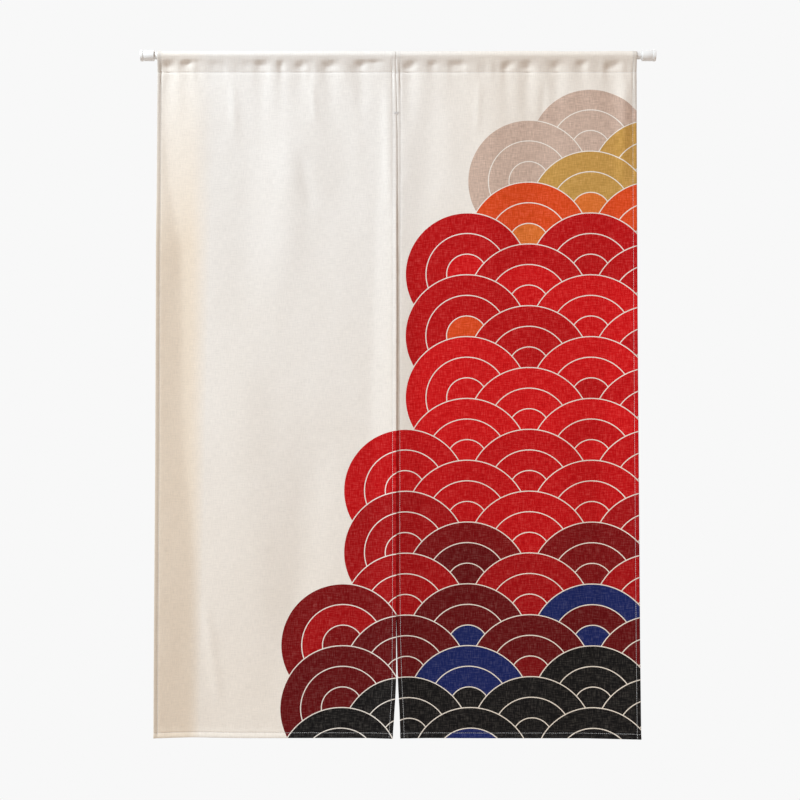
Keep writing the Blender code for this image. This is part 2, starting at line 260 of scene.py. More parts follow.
RIGHT_DIMPLES = table(
    Dimple,
    (0.4690, 0.0100, -0.5, 0.0150, 0.85),
    (0.5110, 0.0090, 0.0, 0.0095, 0.44),
    (0.5547, 0.0150, 0.0, 0.0105, 0.56),
    (0.6410, 0.0090, -0.5, 0.0135, 0.64),
    (0.6752, 0.0090, 0.1, 0.0150, 0.85),
    (0.7258, 0.0090, 0.0, 0.0145, 0.76),
    (0.7712, 0.0085, 0.0, 0.0090, 0.50),
    (0.8230, 0.0120, -0.7, 0.0145, 0.74),
)
MOST_PINCH = 0.86
PULL_DEPTH = 0.0036
PULL_WIDENING = 1.4
PULL_LENGTH = 0.070

# Short soft creases, each along a straight run from one place to another.
CREASE_FADES = 0.3
Crease = namedtuple("Crease", "x drop to_x to_drop half_width forward")
LEFT_CREASES = table(
    Crease,
    (0.110, 0.940, 0.140, 1.165, 0.010, 0.0014),
    (0.275, 0.160, 0.300, 0.290, 0.012, -0.0012),
    (0.160, 0.045, 0.166, 0.150, 0.007, 0.0009),
    (0.300, 0.045, 0.306, 0.130, 0.006, 0.0009),
)
RIGHT_CREASES = table(
    Crease,
    (0.592, 0.045, 0.588, 0.150, 0.006, 0.0009),
    (0.706, 0.045, 0.700, 0.140, 0.006, -0.0009),
    (0.800, 0.820, 0.775, 1.150, 0.012, 0.0012),
)

# A panel's hem hangs at left_drop at its left corner and levels out at right_drop, over a share of its
# width. Its seed starts its random draws.
HEM_BEND = 0.4
Panel = namedtuple(
    "Panel", "name left right left_curl right_curl folds dimples creases left_drop right_drop seed"
)
PANELS = (
    Panel(
        name="panel_left",
        left="left_outer",
        right="left_inner",
        left_curl=LEFT_OUTER_CURL,
        right_curl=LEFT_INNER_CURL,
        folds=LEFT_FOLDS,
        dimples=LEFT_DIMPLES,
        creases=LEFT_CREASES,
        left_drop=CURTAIN_HEIGHT - 0.0030,
        right_drop=CURTAIN_HEIGHT - 0.0004,
        seed=11,
    ),
    Panel(
        name="panel_right",
        left="right_inner",
        right="right_outer",
        left_curl=RIGHT_INNER_CURL,
        right_curl=RIGHT_OUTER_CURL,
        folds=RIGHT_FOLDS,
        dimples=RIGHT_DIMPLES,
        creases=RIGHT_CREASES,
        left_drop=CURTAIN_HEIGHT - 0.0006,
        right_drop=CURTAIN_HEIGHT,
        seed=23,
    ),
)

# Small waves in the cloth: its drape over the whole panel, its crinkles, and the puckers that sewing
# draws up within reach of a seam. They lie this far apart across and down, and stand this far forward.
# Each has a random draw of its own.
Ripple = namedtuple("Ripple", "draw across along forward reach")
DRAPE = Ripple(draw=0, across=0.045, along=0.160, forward=0.0005, reach=None)
CREPE = Ripple(draw=1, across=0.018, along=0.024, forward=0.00016, reach=None)
CASING_PUCKER = Ripple(draw=2, across=0.0085, along=0.090, forward=0.00060, reach=0.013)
SIDE_PUCKER = Ripple(draw=3, across=0.060, along=0.016, forward=0.00035, reach=0.007)
HEM_PUCKER = Ripple(draw=4, across=0.014, along=0.090, forward=0.00030, reach=0.009)
CASING_TOP = Ripple(draw=5, across=0.023, along=0.060, forward=0.00045, reach=None)
NOISE_CELLS = 128


def linear(hex_colour):
    """An sRGB hex colour as the linear values that shaders read."""
    channels = [int(hex_colour[k : k + 2], 16) / 255 for k in (0, 2, 4)]
    return [c / 12.92 if c <= 0.04045 else ((c + 0.055) / 1.055) ** 2.4 for c in channels]


def find_socket(sockets, key):
    """A socket by its number, its identifier or its name."""
    if isinstance(key, int):
        return sockets[key]
    return next(socket for socket in sockets if key in (socket.identifier, socket.name))


def feed(tree, node, inputs):
    """Feeds a node's inputs, in their order or by key, with values or with other nodes' outputs."""
    for key, value in inputs.items() if isinstance(inputs, dict) else enumerate(inputs):
        socket = find_socket(node.inputs, key)
        if isinstance(value, bpy.types.NodeSocket):
            tree.links.new(value, socket)
        elif getattr(socket, "type", "") == "RGBA" and len(value) == 3:
            socket.default_value = (*value, 1.0)
        else:
            socket.default_value = value


def add_node(tree, kind, inputs=(), out=0, **settings):
    """Adds a node with its settings, feeds its inputs and gives one of its outputs. A shader node's kind
    goes without its usual prefix."""
    node = tree.nodes.new(kind if "Node" in kind else "ShaderNode" + kind)
    for name, value in settings.items():
        setattr(node, name, value)
    feed(tree, node, inputs)
    return find_socket(node.outputs, out) if node.outputs else node


def between_rows(rows, column, drop):
    """One column of a table of rows by drop, read along a smooth curve through the rows."""
    place = np.array([row.drop for row in rows])
    value = np.array([getattr(row, column) for row in rows])
    slope = np.gradient(value, place)
    row = np.clip(np.searchsorted(place, drop) - 1, 0, len(rows) - 2)
    step = place[row + 1] - place[row]
    t = np.clip((drop - place[row]) / step, 0.0, 1.0)
    start = value[row] * (1 + 2 * t) * (1 - t) ** 2 + slope[row] * step * t * (1 - t) ** 2
    end = value[row + 1] * t**2 * (3 - 2 * t) - slope[row + 1] * step * t**2 * (1 - t)
    return start + end


def smooth_step(t):
    t = np.clip(t, 0.0, 1.0)
    return t * t * (3 - 2 * t)


def bell(distance, half_width):
    return np.exp(-((distance / half_width) ** 2))


def ripple(wave, panel, x, drop):
    """Smooth noise that stands forward by up to the wave's own height, with its own spacing."""
    draws = np.random.default_rng(panel.seed + wave.draw)
    heights = draws.uniform(-1.0, 1.0, (NOISE_CELLS, NOISE_CELLS))
    across, along = x / wave.across, drop / wave.along
    column, row = np.floor(across).astype(int), np.floor(along).astype(int)
    s, t = smooth_step(across - column), smooth_step(along - row)

    def height(right, down):
        return heights[(row + down) % NOISE_CELLS, (column + right) % NOISE_CELLS]

    upper = height(0, 0) * (1 - s) + height(1, 0) * s
    lower = height(0, 1) * (1 - s) + height(1, 1) * s
    return wave.forward * (upper * (1 - t) + lower * t)


def curl(rows, distance, drop):
    """How far an upright edge's curl stands forward at a distance in from that edge."""
    inwards = 1 - distance / between_rows(rows, "width", drop)
    rounded = (inwards + np.sqrt(inwards**2 + CURL_SOFTNESS**2)) / 2
    at_edge = (1 + np.sqrt(1 + CURL_SOFTNESS**2)) / 2
    return between_rows(rows, "forward", drop) * rounded / at_edge


def fold(row, x, drop):
    """How far one soft fold stands forward."""
    along = (drop - row.top) / (row.bottom - row.top)
    swell = smooth_step(along / FOLD_SWELLS) * smooth_step((1 - along) / FOLD_FADES)
    centre = row.x + row.lean * np.clip(along, 0.0, 1.0)
    return row.forward * swell * bell(x - centre, row.half_width)


def crease(row, x, drop):
    """How far one short crease stands forward."""
    run_x, run_drop = row.to_x - row.x, row.to_drop - row.drop
    along = ((x - row.x) * run_x + (drop - row.drop) * run_drop) / (run_x**2 + run_drop**2)
    along = np.clip(along, 0.0, 1.0)
    near = np.hypot(x - row.x - along * run_x, drop - row.drop - along * run_drop)
    fade = smooth_step(along / CREASE_FADES) * smooth_step((1 - along) / CREASE_FADES)
    return row.forward * fade * bell(near, row.half_width)


def dimple_pull(row, x, drop):
    """How far one dimple draws the cloth back at and below the stitch line."""
    below = np.maximum(drop - CASING_DEPTH, 0.0)
    across = bell(x - row.x, PULL_WIDENING * row.half_width)
    return PULL_DEPTH * row.pinch**2 * across * bell(below, PULL_LENGTH)


def pinched(panel, x, drop):
    """How far the casing's front wall is drawn in, as a share of the way to its back wall."""
    below = drop - CASING_FRONT_DROP - DIMPLE_START
    pinch = 0.0
    for row in panel.dimples:
        centre = row.x + row.lean * (below - row.fall)
        deep = smooth_step(below / (DIMPLE_FALL * row.fall))
        pinch = pinch + row.pinch * bell(x - centre, row.half_width) * deep
    return np.minimum(pinch, MOST_PINCH)


def casing_groove(panel, x, drop):
    """How far the casing's line of stitching draws the cloth in, most where a dimple reaches it."""
    depth = CASING_GROOVE * (1 + CASING_GROOVE_DIMPLED * pinched(panel, x, CASING_DEPTH))
    return depth * bell(drop - CASING_DEPTH, GROOVE_WIDTH)


def puckers(panel, x, drop):
    """How far the small waves, the seams and the creases of the cloth stand forward."""
    left, right = sides(panel, drop)
    from_side = np.minimum(x - left, right - x)
    from_hem = hem_line(panel, (x - left) / (right - left)) - drop
    waves = (
        (DRAPE, 1.0),
        (CREPE, 1.0),
        (CASING_PUCKER, bell(drop - CASING_DEPTH, CASING_PUCKER.reach)),
        (SIDE_PUCKER, bell(from_side - SIDE_HEM, SIDE_PUCKER.reach)),
        (HEM_PUCKER, bell(from_hem - BOTTOM_HEM, HEM_PUCKER.reach)),
    )
    forward = sum(ripple(wave, panel, x, drop) * share for wave, share in waves)
    gathered = 1 + GATHER * smooth_step((GATHERED_TO - drop) / GATHERED_OVER)
    seams = ((from_side, SIDE_STITCH, gathered * SIDE_GROOVE), (from_hem, HEM_STITCH, HEM_GROOVE))
    for inset, stitch, depth in seams:
        forward = forward + gathered * HEM_SWELL * bell(inset - stitch / 2, stitch / 3)
        forward = forward - depth * bell(inset - stitch, GROOVE_WIDTH)
    forward = forward - casing_groove(panel, x, drop)
    forward = forward + HEM_KICK * np.clip(1 - from_hem / HEM_KICK_HEIGHT, 0.0, 1.0) ** 2
    return forward + sum(crease(row, x, drop) for row in panel.creases)


def sides(panel, drop):
    """Where a panel's left and right edges lie at a drop."""
    return between_rows(EDGES, panel.left, drop), between_rows(EDGES, panel.right, drop)


def finished_width(panel):
    """A panel's width along its top edge."""
    return getattr(EDGES[0], panel.right) - getattr(EDGES[0], panel.left)


def skirt_y(panel, x, drop):
    """Where the middle of the cloth lies, front to back, at a place below the casing."""
    left, right = sides(panel, drop)
    forward = curl(panel.left_curl, x - left, drop) + curl(panel.right_curl, right - x, drop)
    forward += sum(fold(row, x, drop) for row in panel.folds)
    forward -= sum(dimple_pull(row, x, drop) for row in panel.dimples)
    return -forward - puckers(panel, x, drop)


def hem_line(panel, share):
    """The drop of the hem's lower edge, from the panel's left edge at share 0 to its right at 1."""
    return panel.left_drop + (panel.right_drop - panel.left_drop) * smooth_step(share / HEM_BEND)


Turn = namedtuple("Turn", "inset angle")


def turned_edge(depth, stitch):
    """A turned edge from its free end to the main layer: how far each step lies in from the folded
    edge, and the angle turned, which is pi on the flap and 0 on the main layer."""
    insets = (depth, stitch, *np.linspace(stitch, 0.0, FLAP_STEPS + 1)[1:-1])
    bend = [Turn(None, angle) for angle in np.linspace(pi, 0.0, BEND_STEPS + 1)]
    return [Turn(inset, pi) for inset in insets] + bend


class Columns:
    """The cloth's columns, from the free end of the left flap round to the free end of the right one.
    A column's side is 0 on the left flap, 0.5 on the main layer and 1 on the right flap."""

    def __init__(self, width):
        side = turned_edge(SIDE_HEM, SIDE_STITCH)
        middle = np.linspace(NEAR_SIDE[-1], width - NEAR_SIDE[-1], MAIN_COLUMNS)[1:-1]
        main = [*NEAR_SIDE, *middle, *(width - place for place in reversed(NEAR_SIDE))]
        turn = [t.angle for t in side]
        inset = [np.nan if t.inset is None else t.inset for t in side]
        self.angle = np.array([*turn, *[0.0] * len(main), *turn[::-1]])
        self.inset = np.array([*inset, *main, *inset[::-1]])
        self.side = np.repeat([0.0, 0.5, 1.0], [len(side), len(main), len(side)])
        self.share = np.where(self.side == 0.5, self.inset / width, self.side)
        from_edge = np.where(self.side == 0.5, np.minimum(self.inset, width - self.inset), 0.0)
        self.cover = smooth_step((SIDE_HEM + COVER_EASE - from_edge) / COVER_EASE)
        # The side hems lie double here, and these columns take the hems' painted shade
        self.doubled = (from_edge < SIDE_HEM).astype(float)
        self.main = np.flatnonzero(self.side == 0.5)
        self.flap_stitch = (1, len(self.inset) - 2)
        stitch = NEAR_SIDE.index(SIDE_STITCH)
        self.face_stitch = (self.main[stitch], self.main[-1 - stitch])

    def places(self, radius, cloth):
        """How far each column lies in from its edge and out along the cloth, for a fold of a radius."""
        bend, round_bend = radius * (1 - np.sin(self.angle)), radius * (self.angle - pi / 2)
        bent = np.isnan(self.inset)
        inset = np.where(bent, bend, self.inset) + cloth / 2
        return inset, np.where(bent, round_bend, radius * pi / 2 + self.inset)


Surface = namedtuple("Surface", "middle normal half flat doubled columns rows")
Rows = namedtuple("Rows", "hem_flap_stitch first_main hem_stitch stitch casing_end")


def skirt_drops(turned, hem, hem_layer, cloth):
    """The drops of the rows from the free end of the hem's flap to the casing's stitch line."""
    drops = []
    for t in turned:
        bend = hem_layer / 2 * (1 - sin(t.angle))
        drops.append(hem - cloth / 2 - (bend if t.inset is None else t.inset))
    drops += [hem - cloth / 2 - inset for inset in NEAR_HEM]
    rows_between = round((CURTAIN_HEIGHT - NEAR_HEM[-1] - NEAR_CASING[0]) / ROW_PITCH)
    for share in np.linspace(1.0, 0.0, rows_between + 1)[1:-1]:
        drops.append(NEAR_CASING[0] + share * (hem - NEAR_HEM[-1] - NEAR_CASING[0]))
    return np.array(drops + [np.full_like(hem, drop) for drop in NEAR_CASING])


def panel_surface(panel, cloth):
    """The cloth's middle as a grid of points: up from the free end of the hem's flap at the back, round
    the hem, up the front, over the rod and down to the end of the casing at the back."""
    columns = Columns(finished_width(panel))
    hem = hem_line(panel, columns.share)
    # A flap is itself double, so its middle lies one and a half layers behind the main one's.
    hem_layer = cloth * (1.5 + 2 * columns.cover) + LAYER_GAP * (1 + 2 * columns.cover)
    turned = turned_edge(BOTTOM_HEM, HEM_STITCH)
    drop = skirt_drops(turned, hem, hem_layer, cloth)
    last, first_main = len(drop) - 1, len(turned)
    stitch = first_main + NEAR_HEM.index(HEM_STITCH)
    rows = Rows(1, first_main, stitch, last, last + WALL_STEPS + ARC_STEPS)
    angles = np.array([t.angle for t in turned])[:, None]
    row_turn = np.zeros((len(drop), 1))
    row_turn[:first_main] = (1 - np.cos(angles)) / 2

    from_hem = hem - drop
    tight = smooth_step((BOTTOM_HEM + 2 * TURNED_EDGE - from_hem) / TURNED_EDGE)
    tight = np.maximum(tight, smooth_step((CASING_DEPTH + 2 * TURNED_EDGE - drop) / TURNED_EDGE))
    side_layer = cloth * (1.5 - 0.5 * tight) + LAYER_GAP
    x, out = across(panel, columns, drop, side_layer / 2, cloth)
    column_turn = (1 - np.cos(columns.angle))[None, :] / 2
    side_only, hem_only = column_turn * (1 - row_turn), (1 - column_turn) * row_turn
    layer = side_only * side_layer + hem_only * hem_layer
    layer = layer + column_turn * row_turn * 2 * (cloth + LAYER_GAP)
    half = cloth / 2 + cloth / 2 * (side_only * (1 - tight) + hem_only)
    skirt = np.stack([x, skirt_y(panel, x, drop) + layer, TOP_Z - drop], axis=-1)
    beyond = np.array([0.0 if t.inset is None else t.inset for t in turned])[:, None]
    flat_drop = drop.copy()
    flat_drop[:first_main] = hem + hem_layer / 2 * (angles - pi / 2) + beyond

    wall, section, casing_half, flat_casing = casing_surface(panel, columns, cloth, hem_layer)
    middle = np.concatenate([skirt, wall])
    flat_across = flat_x(panel, columns, np.concatenate([out, section]))
    flat = np.stack([flat_across, CURTAIN_HEIGHT - np.concatenate([flat_drop, flat_casing])], axis=-1)
    normal = np.cross(np.gradient(middle, axis=1), np.gradient(middle, axis=0))
    normal /= np.linalg.norm(normal, axis=-1, keepdims=True)
    # Painted shade on the hems: full along the bottom's folded edge and the outer side hems, a share on the
    # bottom hem's flat part and on the slit's edges, and the side hems' share up the casing
    hem_shade_share = np.where(from_hem < FOLDED_EDGE, 1.0, HEM_SHADE * (from_hem < BOTTOM_HEM))
    outer = columns.share < 0.5 if panel is PANELS[0] else columns.share > 0.5
    side_shade_share = columns.doubled * np.where(outer, 1.0, INNER_SHADE)
    doubled = np.maximum(side_shade_share[None, :], hem_shade_share)
    doubled = np.concatenate([doubled, np.broadcast_to(side_shade_share, casing_half.shape)])
    return Surface(middle, normal, np.concatenate([half, casing_half]), flat, doubled, columns, rows)


def across(panel, columns, drop, radius, cloth):
    """Where each column stands at a drop, and how far it lies out along the cloth from the folded edge."""
    inset, out = columns.places(radius, cloth)
    left, right = sides(panel, drop)
    main = left + columns.share * (right - left)
    x = np.where(columns.side == 0.0, left + inset, np.where(columns.side == 1.0, right - inset, main))
    return x, np.broadcast_to(out, drop.shape)


def flat_x(panel, columns, out):
    """How far across the whole flat curtain a column lies, with the flaps laid out beyond the edges."""
    start = getattr(EDGES[0], panel.left) - EDGES[0].left_outer
    main = start + columns.share * finished_width(panel)
    return np.where(columns.side == 0.0, start - out, np.where(columns.side == 1.0, main + out, main))


# A row of the casing: where it lies, which way is outwards, how far along the flat cloth it lies, and
# half its thickness as a share of the cloth's
CasingRow = namedtuple("CasingRow", "y z out_y out_z along half")


def casing_rows(panel, x, cover, foot_y, back_y, cloth):
    """The casing above its stitch line: up its front wall, over the rod and down its back wall."""
    top_y, top_z = CASING_MIDDLE * cos(WALL_TOP), -CASING_MIDDLE * sin(WALL_TOP)
    rows = []
    for t in np.linspace(0.0, 1.0, WALL_STEPS + 1)[1:-1]:
        z = STITCH_Z + (top_z - STITCH_Z) * t
        drawn = WALL_SWEEP * smooth_step(t**WALL_DRAW) + (1 - WALL_SWEEP) * t
        y = foot_y + (-top_y - foot_y) * drawn
        room = back_y + (top_y - back_y) * t - 2 * cloth - y
        y = y + np.maximum(room, 0.0) * pinched(panel, x, TOP_Z - z)
        if z > -CASING_MIDDLE:
            y = np.minimum(y, -sqrt(CASING_MIDDLE**2 - z**2))
        small = ripple(CASING_PUCKER, panel, x, TOP_Z - z) * (1 - t) * sin(pi * t)
        small = small + casing_groove(panel, x, CASING_DEPTH) * (1 - t**WALL_DRAW)
        small = small - casing_groove(panel, x, TOP_Z - z)
        rows.append(CasingRow(y - small, z, -1.0, 0.0, TOP_Z - z, 0.5))
    for angle in np.linspace(-WALL_TOP, pi + WALL_TOP, ARC_STEPS + 1):
        lifted = ripple(CASING_TOP, panel, x, CASING_MIDDLE * angle)
        lifted = lifted * sin(angle) ** 2 * (1 - cover)
        y, z = -(CASING_MIDDLE + lifted) * cos(angle), (CASING_MIDDLE + lifted) * sin(angle)
        along = TOP_Z - (top_z + CASING_MIDDLE * (angle + WALL_TOP))
        rows.append(CasingRow(y, z, -cos(angle), sin(angle), along, 0.5))
    over_rod = CASING_MIDDLE * (pi + 2 * WALL_TOP)
    for t in np.linspace(0.0, 1.0, BACK_STEPS + 1)[1:]:
        z = top_z + (STITCH_Z - top_z) * t
        fade = smooth_step((z - STITCH_Z) / TURNED_EDGE)
        along = TOP_Z - (top_z + over_rod + top_z - z)
        rows.append(CasingRow(top_y + (back_y - top_y) * t, z, 1.0, 0.0, along, 1 - fade / 2))
    return rows, TOP_Z - (top_z + over_rod + top_z - CASING_END_Z)


def casing_surface(panel, columns, cloth, hem_layer):
    """The casing's points, how far each lies out along the cloth, half its thickness, and its flat drop."""
    stitch_drop = np.full_like(columns.share, CASING_DEPTH)
    side_layer = cloth + LAYER_GAP
    x_stitch, _ = across(panel, columns, stitch_drop, side_layer / 2, cloth)
    foot_y = skirt_y(panel, x_stitch, stitch_drop)
    rows, end = casing_rows(panel, x_stitch, columns.cover, foot_y, foot_y + hem_layer, cloth)
    below_y = skirt_y(panel, x_stitch, stitch_drop + CASING_TURN) + hem_layer
    rows.append(CasingRow(below_y, CASING_END_Z, 1.0, 0.0, end, 1.0))

    turn = (1 - np.cos(columns.angle)) / 2
    wall, outs, halves, flats = [], [], [], []
    for row in rows:
        drop = np.full_like(columns.share, TOP_Z - row.z)
        x, out = across(panel, columns, drop, side_layer / 2, cloth)
        lift = CASING_HEM_LIFT * smooth_step(2 + 2 * row.z / CASING_MIDDLE)
        inwards = turn * side_layer - lift * columns.cover
        wall.append(np.stack([x, row.y - row.out_y * inwards, row.z - row.out_z * inwards + 0 * x], axis=-1))
        outs.append(out)
        halves.append(cloth * (row.half + (0.5 - row.half) * turn))
        flats.append(np.full_like(columns.share, row.along))
    return np.array(wall), np.array(outs), np.array(halves), np.array(flats)


def add_values(mesh, name, kind, values):
    """Gives each point of a mesh its own value of a named attribute."""
    field = "vector" if kind == "FLOAT_VECTOR" else "value"
    attribute = mesh.attributes.new(name, kind, "POINT")
    attribute.data.foreach_set(field, values.astype(np.float32).ravel())


def sheet_mesh(name, surface):
    """The cloth as a closed mesh, with its two faces half a thickness out from its middle."""
    offset = surface.normal * surface.half[..., None]
    points = [(surface.middle + way * offset).reshape(-1, 3) for way in (1, -1)]
    corner = np.arange(surface.half.size).reshape(surface.half.shape)
    quads = np.stack([corner[:-1, :-1], corner[:-1, 1:], corner[1:, 1:], corner[1:, :-1]], axis=-1)
    quads = quads.reshape(-1, 4)
    ring = np.concatenate([corner[0, :-1], corner[:-1, -1], corner[-1, :0:-1], corner[:0:-1, 0]])
    ahead, behind = np.roll(ring, -1), corner.size
    rim = np.stack([ring, ring + behind, ahead + behind, ahead], axis=-1)
    mesh = bpy.data.meshes.new(name)
    mesh.from_pydata(np.concatenate(points), [], np.concatenate([quads, quads[:, ::-1] + behind, rim]))
    corners = np.empty(len(mesh.loops), dtype=np.int32)
    mesh.loops.foreach_get("vertex_index", corners)
    laid = np.concatenate([surface.flat.reshape(-1, 2)] * 2)[corners].astype(np.float32)
    mesh.uv_layers.new(name="flat_cloth").data.foreach_set("uv", laid.ravel())
    add_values(mesh, "reverse", "FLOAT", np.repeat([0.0, 1.0], behind))
    # The hems' painted shade, for the material
    add_values(mesh, "doubled", "FLOAT", np.tile(surface.doubled.ravel(), 2))
    mesh.shade_smooth()
    mesh.set_sharp_from_angle(angle=radians(SHARP_CLOTH))
    return mesh


def place(name, mesh, material):
    """Puts a finished mesh in the scene on the curtain's one body."""
    piece = bpy.data.objects.new(name, mesh)
    mesh.materials.clear()
    mesh.materials.append(material)
    bpy.context.scene.collection.objects.link(piece)
    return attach(piece, "root")


def new_material(name):
    """An empty material with its shader: (material, tree, shader)."""
    material = bpy.data.materials.new(name)
    material.use_nodes = True
    tree = material.node_tree
    return material, tree, tree.nodes["Principled BSDF"]


# The print's inks from the hem upwards, by the share of the field's height where each one starts
INK_LEVELS = {
    0.00: "100E0E",
    0.045: "14225E",
    0.085: "650003",
    0.15: "7E0003",
    0.24: "A80005",
    0.36: "C40208",
    0.52: "D4080D",
    0.66: "BE0207",
    0.78: "DF4A17",
    0.86: "E1742C",
    0.92: "C89A4E",
    0.96: "CDB3A2",
}

# A reach of 1 is a scale's rim, so this one is off every scale.
OFF_SCALES = 9.0


def scale_at(node, flat, look):
    """The round scale that shows at a place: how far out from its middle the place lies, and the scale's
    column and row. Each scale overlaps the ones above it, and none starts above the field's shore."""
    radius, rise = look.scale_radius, look.scale_radius / 2
    slope = (look.slope_start, look.slope_end, look.low_shore, look.high_shore)
    across, up, _ = node("SeparateXYZ", (flat,)).node.outputs
    steps_across = node("Math", (across, 2 * radius), operation="DIVIDE")
    steps_up = node("Math", (up, rise), operation="DIVIDE")
    row_here = node("Math", (steps_up,), operation="FLOOR")
    shown = (OFF_SCALES, 0.0, 0.0)
    for above in (1, 0, -1):
        row = node("Math", (row_here, above), operation="ADD")
        odd = node("Math", (row, 2.0), operation="FLOORED_MODULO")
        shift = node("Math", (odd, 0.5), operation="MULTIPLY")
        unshifted = node("Math", (steps_across, shift), operation="SUBTRACT")
        column = node("Math", (unshifted,), operation="ROUND")
        centre = node("Math", (column, shift), operation="ADD")
        x = node("Math", (centre, 2 * radius), operation="MULTIPLY")
        y = node("Math", (row, rise), operation="MULTIPLY")
        middle = node("CombineXYZ", (x, y))
        away = node("VectorMath", (flat, middle), operation="DISTANCE", out="Value")
        reach = node("Math", (away, radius), operation="DIVIDE")
        inside = node("Math", (reach, 1.0), operation="LESS_THAN")
        shore = node("MapRange", (x, *slope), interpolation_type="SMOOTHSTEP")
        under = node("Math", (y, shore), operation="LESS_THAN")
        drawn = node("Math", (inside, under), operation="MULTIPLY")
        found = node("CombineXYZ", (reach, centre, row))
        either = {"Factor_Float": drawn, "A_Vector": shown, "B_Vector": found}
        shown = node("Mix", either, out="Result_Vector", data_type="VECTOR")
    return node("SeparateXYZ", (shown,)).node.outputs


def wave_print(node, flat, look):
    """Rows of overlapping round scales, each of concentric bands, as (ink colour, share of ink). The
    scales stand in for the sea in the old way, and their field rises from the left to the right."""
    reach, column, row = scale_at(node, flat, look)
    bands = node("Math", (reach, look.bands), operation="MULTIPLY")
    band = node("Math", (bands,), operation="FLOOR")
    in_band = node("Math", (bands,), operation="FRACT")
    line_share = 1 - look.line_width * look.bands / look.scale_radius
    solid = node("Math", (in_band, line_share), operation="LESS_THAN")
    on_scale = node("Math", (reach, 1.0), operation="LESS_THAN")
    ink = node("Math", (solid, on_scale), operation="MULTIPLY")
    tone = node("Math", (row, look.scale_radius / 2 / look.high_shore), operation="MULTIPLY")
    for cell_band, spread in ((0.0, look.scale_spread), (band, look.band_spread)):
        cell = node("CombineXYZ", (column, row, cell_band))
        chance = node("TexWhiteNoise", {"Vector": cell}, out="Value")
        wander = node("MapRange", (chance, 0.0, 1.0, -spread, spread))
        tone = node("Math", (tone, wander), operation="ADD")
    colour = node("ValToRGB", (tone,))
    ramp = colour.node.color_ramp
    ramp.interpolation = "CONSTANT"
    for start, ink_colour in INK_LEVELS.items():
        level = ramp.elements[0] if start == 0.0 else ramp.elements.new(start)
        level.color = (*linear(ink_colour), 1.0)
    ramp.elements.remove(ramp.elements[-1])
    return colour, ink


# The canvas's ranges, each as (from, to, value at from, value at to). The first three say how strongly the
# warm tint of painted shade lies, by height or place across the flat curtain. The rest go by the threads'
# thickness, but for the painted shade of the hems.
SHADE_TINT_BELOW_ROD = (1.14, 0.86, 0.25, 1.0)
SHADE_TINT_TO_HEM = (0.98, 0.12, 0.0, 0.46)
SHADE_TINT_TO_RIGHT = (0.38, 0.60, 0.0, 0.34)
THREAD_TONE = (0.3, 0.7, 0.90, 1.06)
INK_TONE = (0.32, 0.68, 0.74, 1.22)
INK_MISSED = (0.48, 0.68, 0.0, 0.06)
CANVAS_ROUGHNESS = (0.0, 1.0, 0.82, 0.96)
PAINTED_HEM_TONE = (0.0, 1.0, 1.0, 0.85)

# A wave texture's own period at scale 1, how wavy it makes the threads, and how much of the relief it is
WAVE_PERIOD = 0.1 * pi
THREAD_WAVER = {"Distortion": 0.6, "Detail": 1.0, "Detail Scale": 0.05}
WEAVE_SHARE = 0.35


def stretched_noise(node, flat, long_x, long_y):
    """Noise with grains of a given length across and down, in metres."""
    grains = node("Mapping", {"Vector": flat, "Scale": (1 / long_x, 1 / long_y, 1.0)})
    return node("TexNoise", {"Vector": grains, "Scale": 1.0, "Detail": 2.0})


def plain_weave(node, flat, thread):
    """The weave itself, drawn coarser than its real 0.7 mm spacing so that a near view shows it."""
    over_under = node("TexChecker", {"Vector": flat, "Scale": 1 / thread}, out="Fac")
    threads = {"Vector": flat, "Scale": WAVE_PERIOD / thread, **THREAD_WAVER}
    warp, weft = (node("TexWave", threads, out="Fac", bands_direction=way) for way in "XY")
    return node("Mix", {"Factor_Float": over_under, "A_Float": warp, "B_Float": weft})


def bare_cloth(node, flat, slubs, look):
    """The cloth's own colour, which wanders a little from place to place and from thread to thread, under
    painted shade: a warm tint painted most along its outer left edge, but little near the rod, and faintly
    towards the hem and the right, and a darker tone painted on the hems and their folded edges."""
    broad = node("TexNoise", {"Vector": flat, "Scale": 5.0, "Detail": 3.0})
    patches = {"Factor_Float": broad, "A_Color": look.cloth_shade, "B_Color": look.cloth_colour}
    ground = node("Mix", patches, out="Result_Color", data_type="RGBA")
    # Painted shade: a warm tint, most along the outer left edge, little near the rod, and faint towards the
    # hem and the right
    across, up, _ = node("SeparateXYZ", (flat,)).node.outputs
    edge = EDGES[0].left_outer
    strip = (edge + look.shade_tint_width / 3, edge + look.shade_tint_width, 1.0, 0.0)
    sideways = node("MapRange", (across, *strip), interpolation_type="SMOOTHSTEP")
    downwards = node("MapRange", (up, *SHADE_TINT_BELOW_ROD))
    hem_end = node("MapRange", (up, *SHADE_TINT_TO_HEM))
    right_end = node("MapRange", (across, *SHADE_TINT_TO_RIGHT))
    ends = node("Math", (hem_end, right_end), operation="ADD")
    shade_tint = node("Math", (sideways, downwards), operation="MULTIPLY")
    shade_tint = node("Math", (shade_tint, ends), operation="MAXIMUM")
    tint = {"Factor_Float": shade_tint, "A_Color": ground, "B_Color": look.shade_tint_colour}
    ground = node("Mix", tint, out="Result_Color", data_type="RGBA", blend_type="MULTIPLY")
    thread_tone = node("MapRange", (slubs, *THREAD_TONE))
    # Painted shade: the hems and their folded edges are painted darker
    doubled = node("Attribute", attribute_name="doubled", out="Fac")
    hem_shade_tone = node("MapRange", (doubled, *PAINTED_HEM_TONE))
    tone = node("Math", (thread_tone, hem_shade_tone), operation="MULTIPLY")
    return node("VectorMath", {0: ground, "Scale": tone}, operation="SCALE")


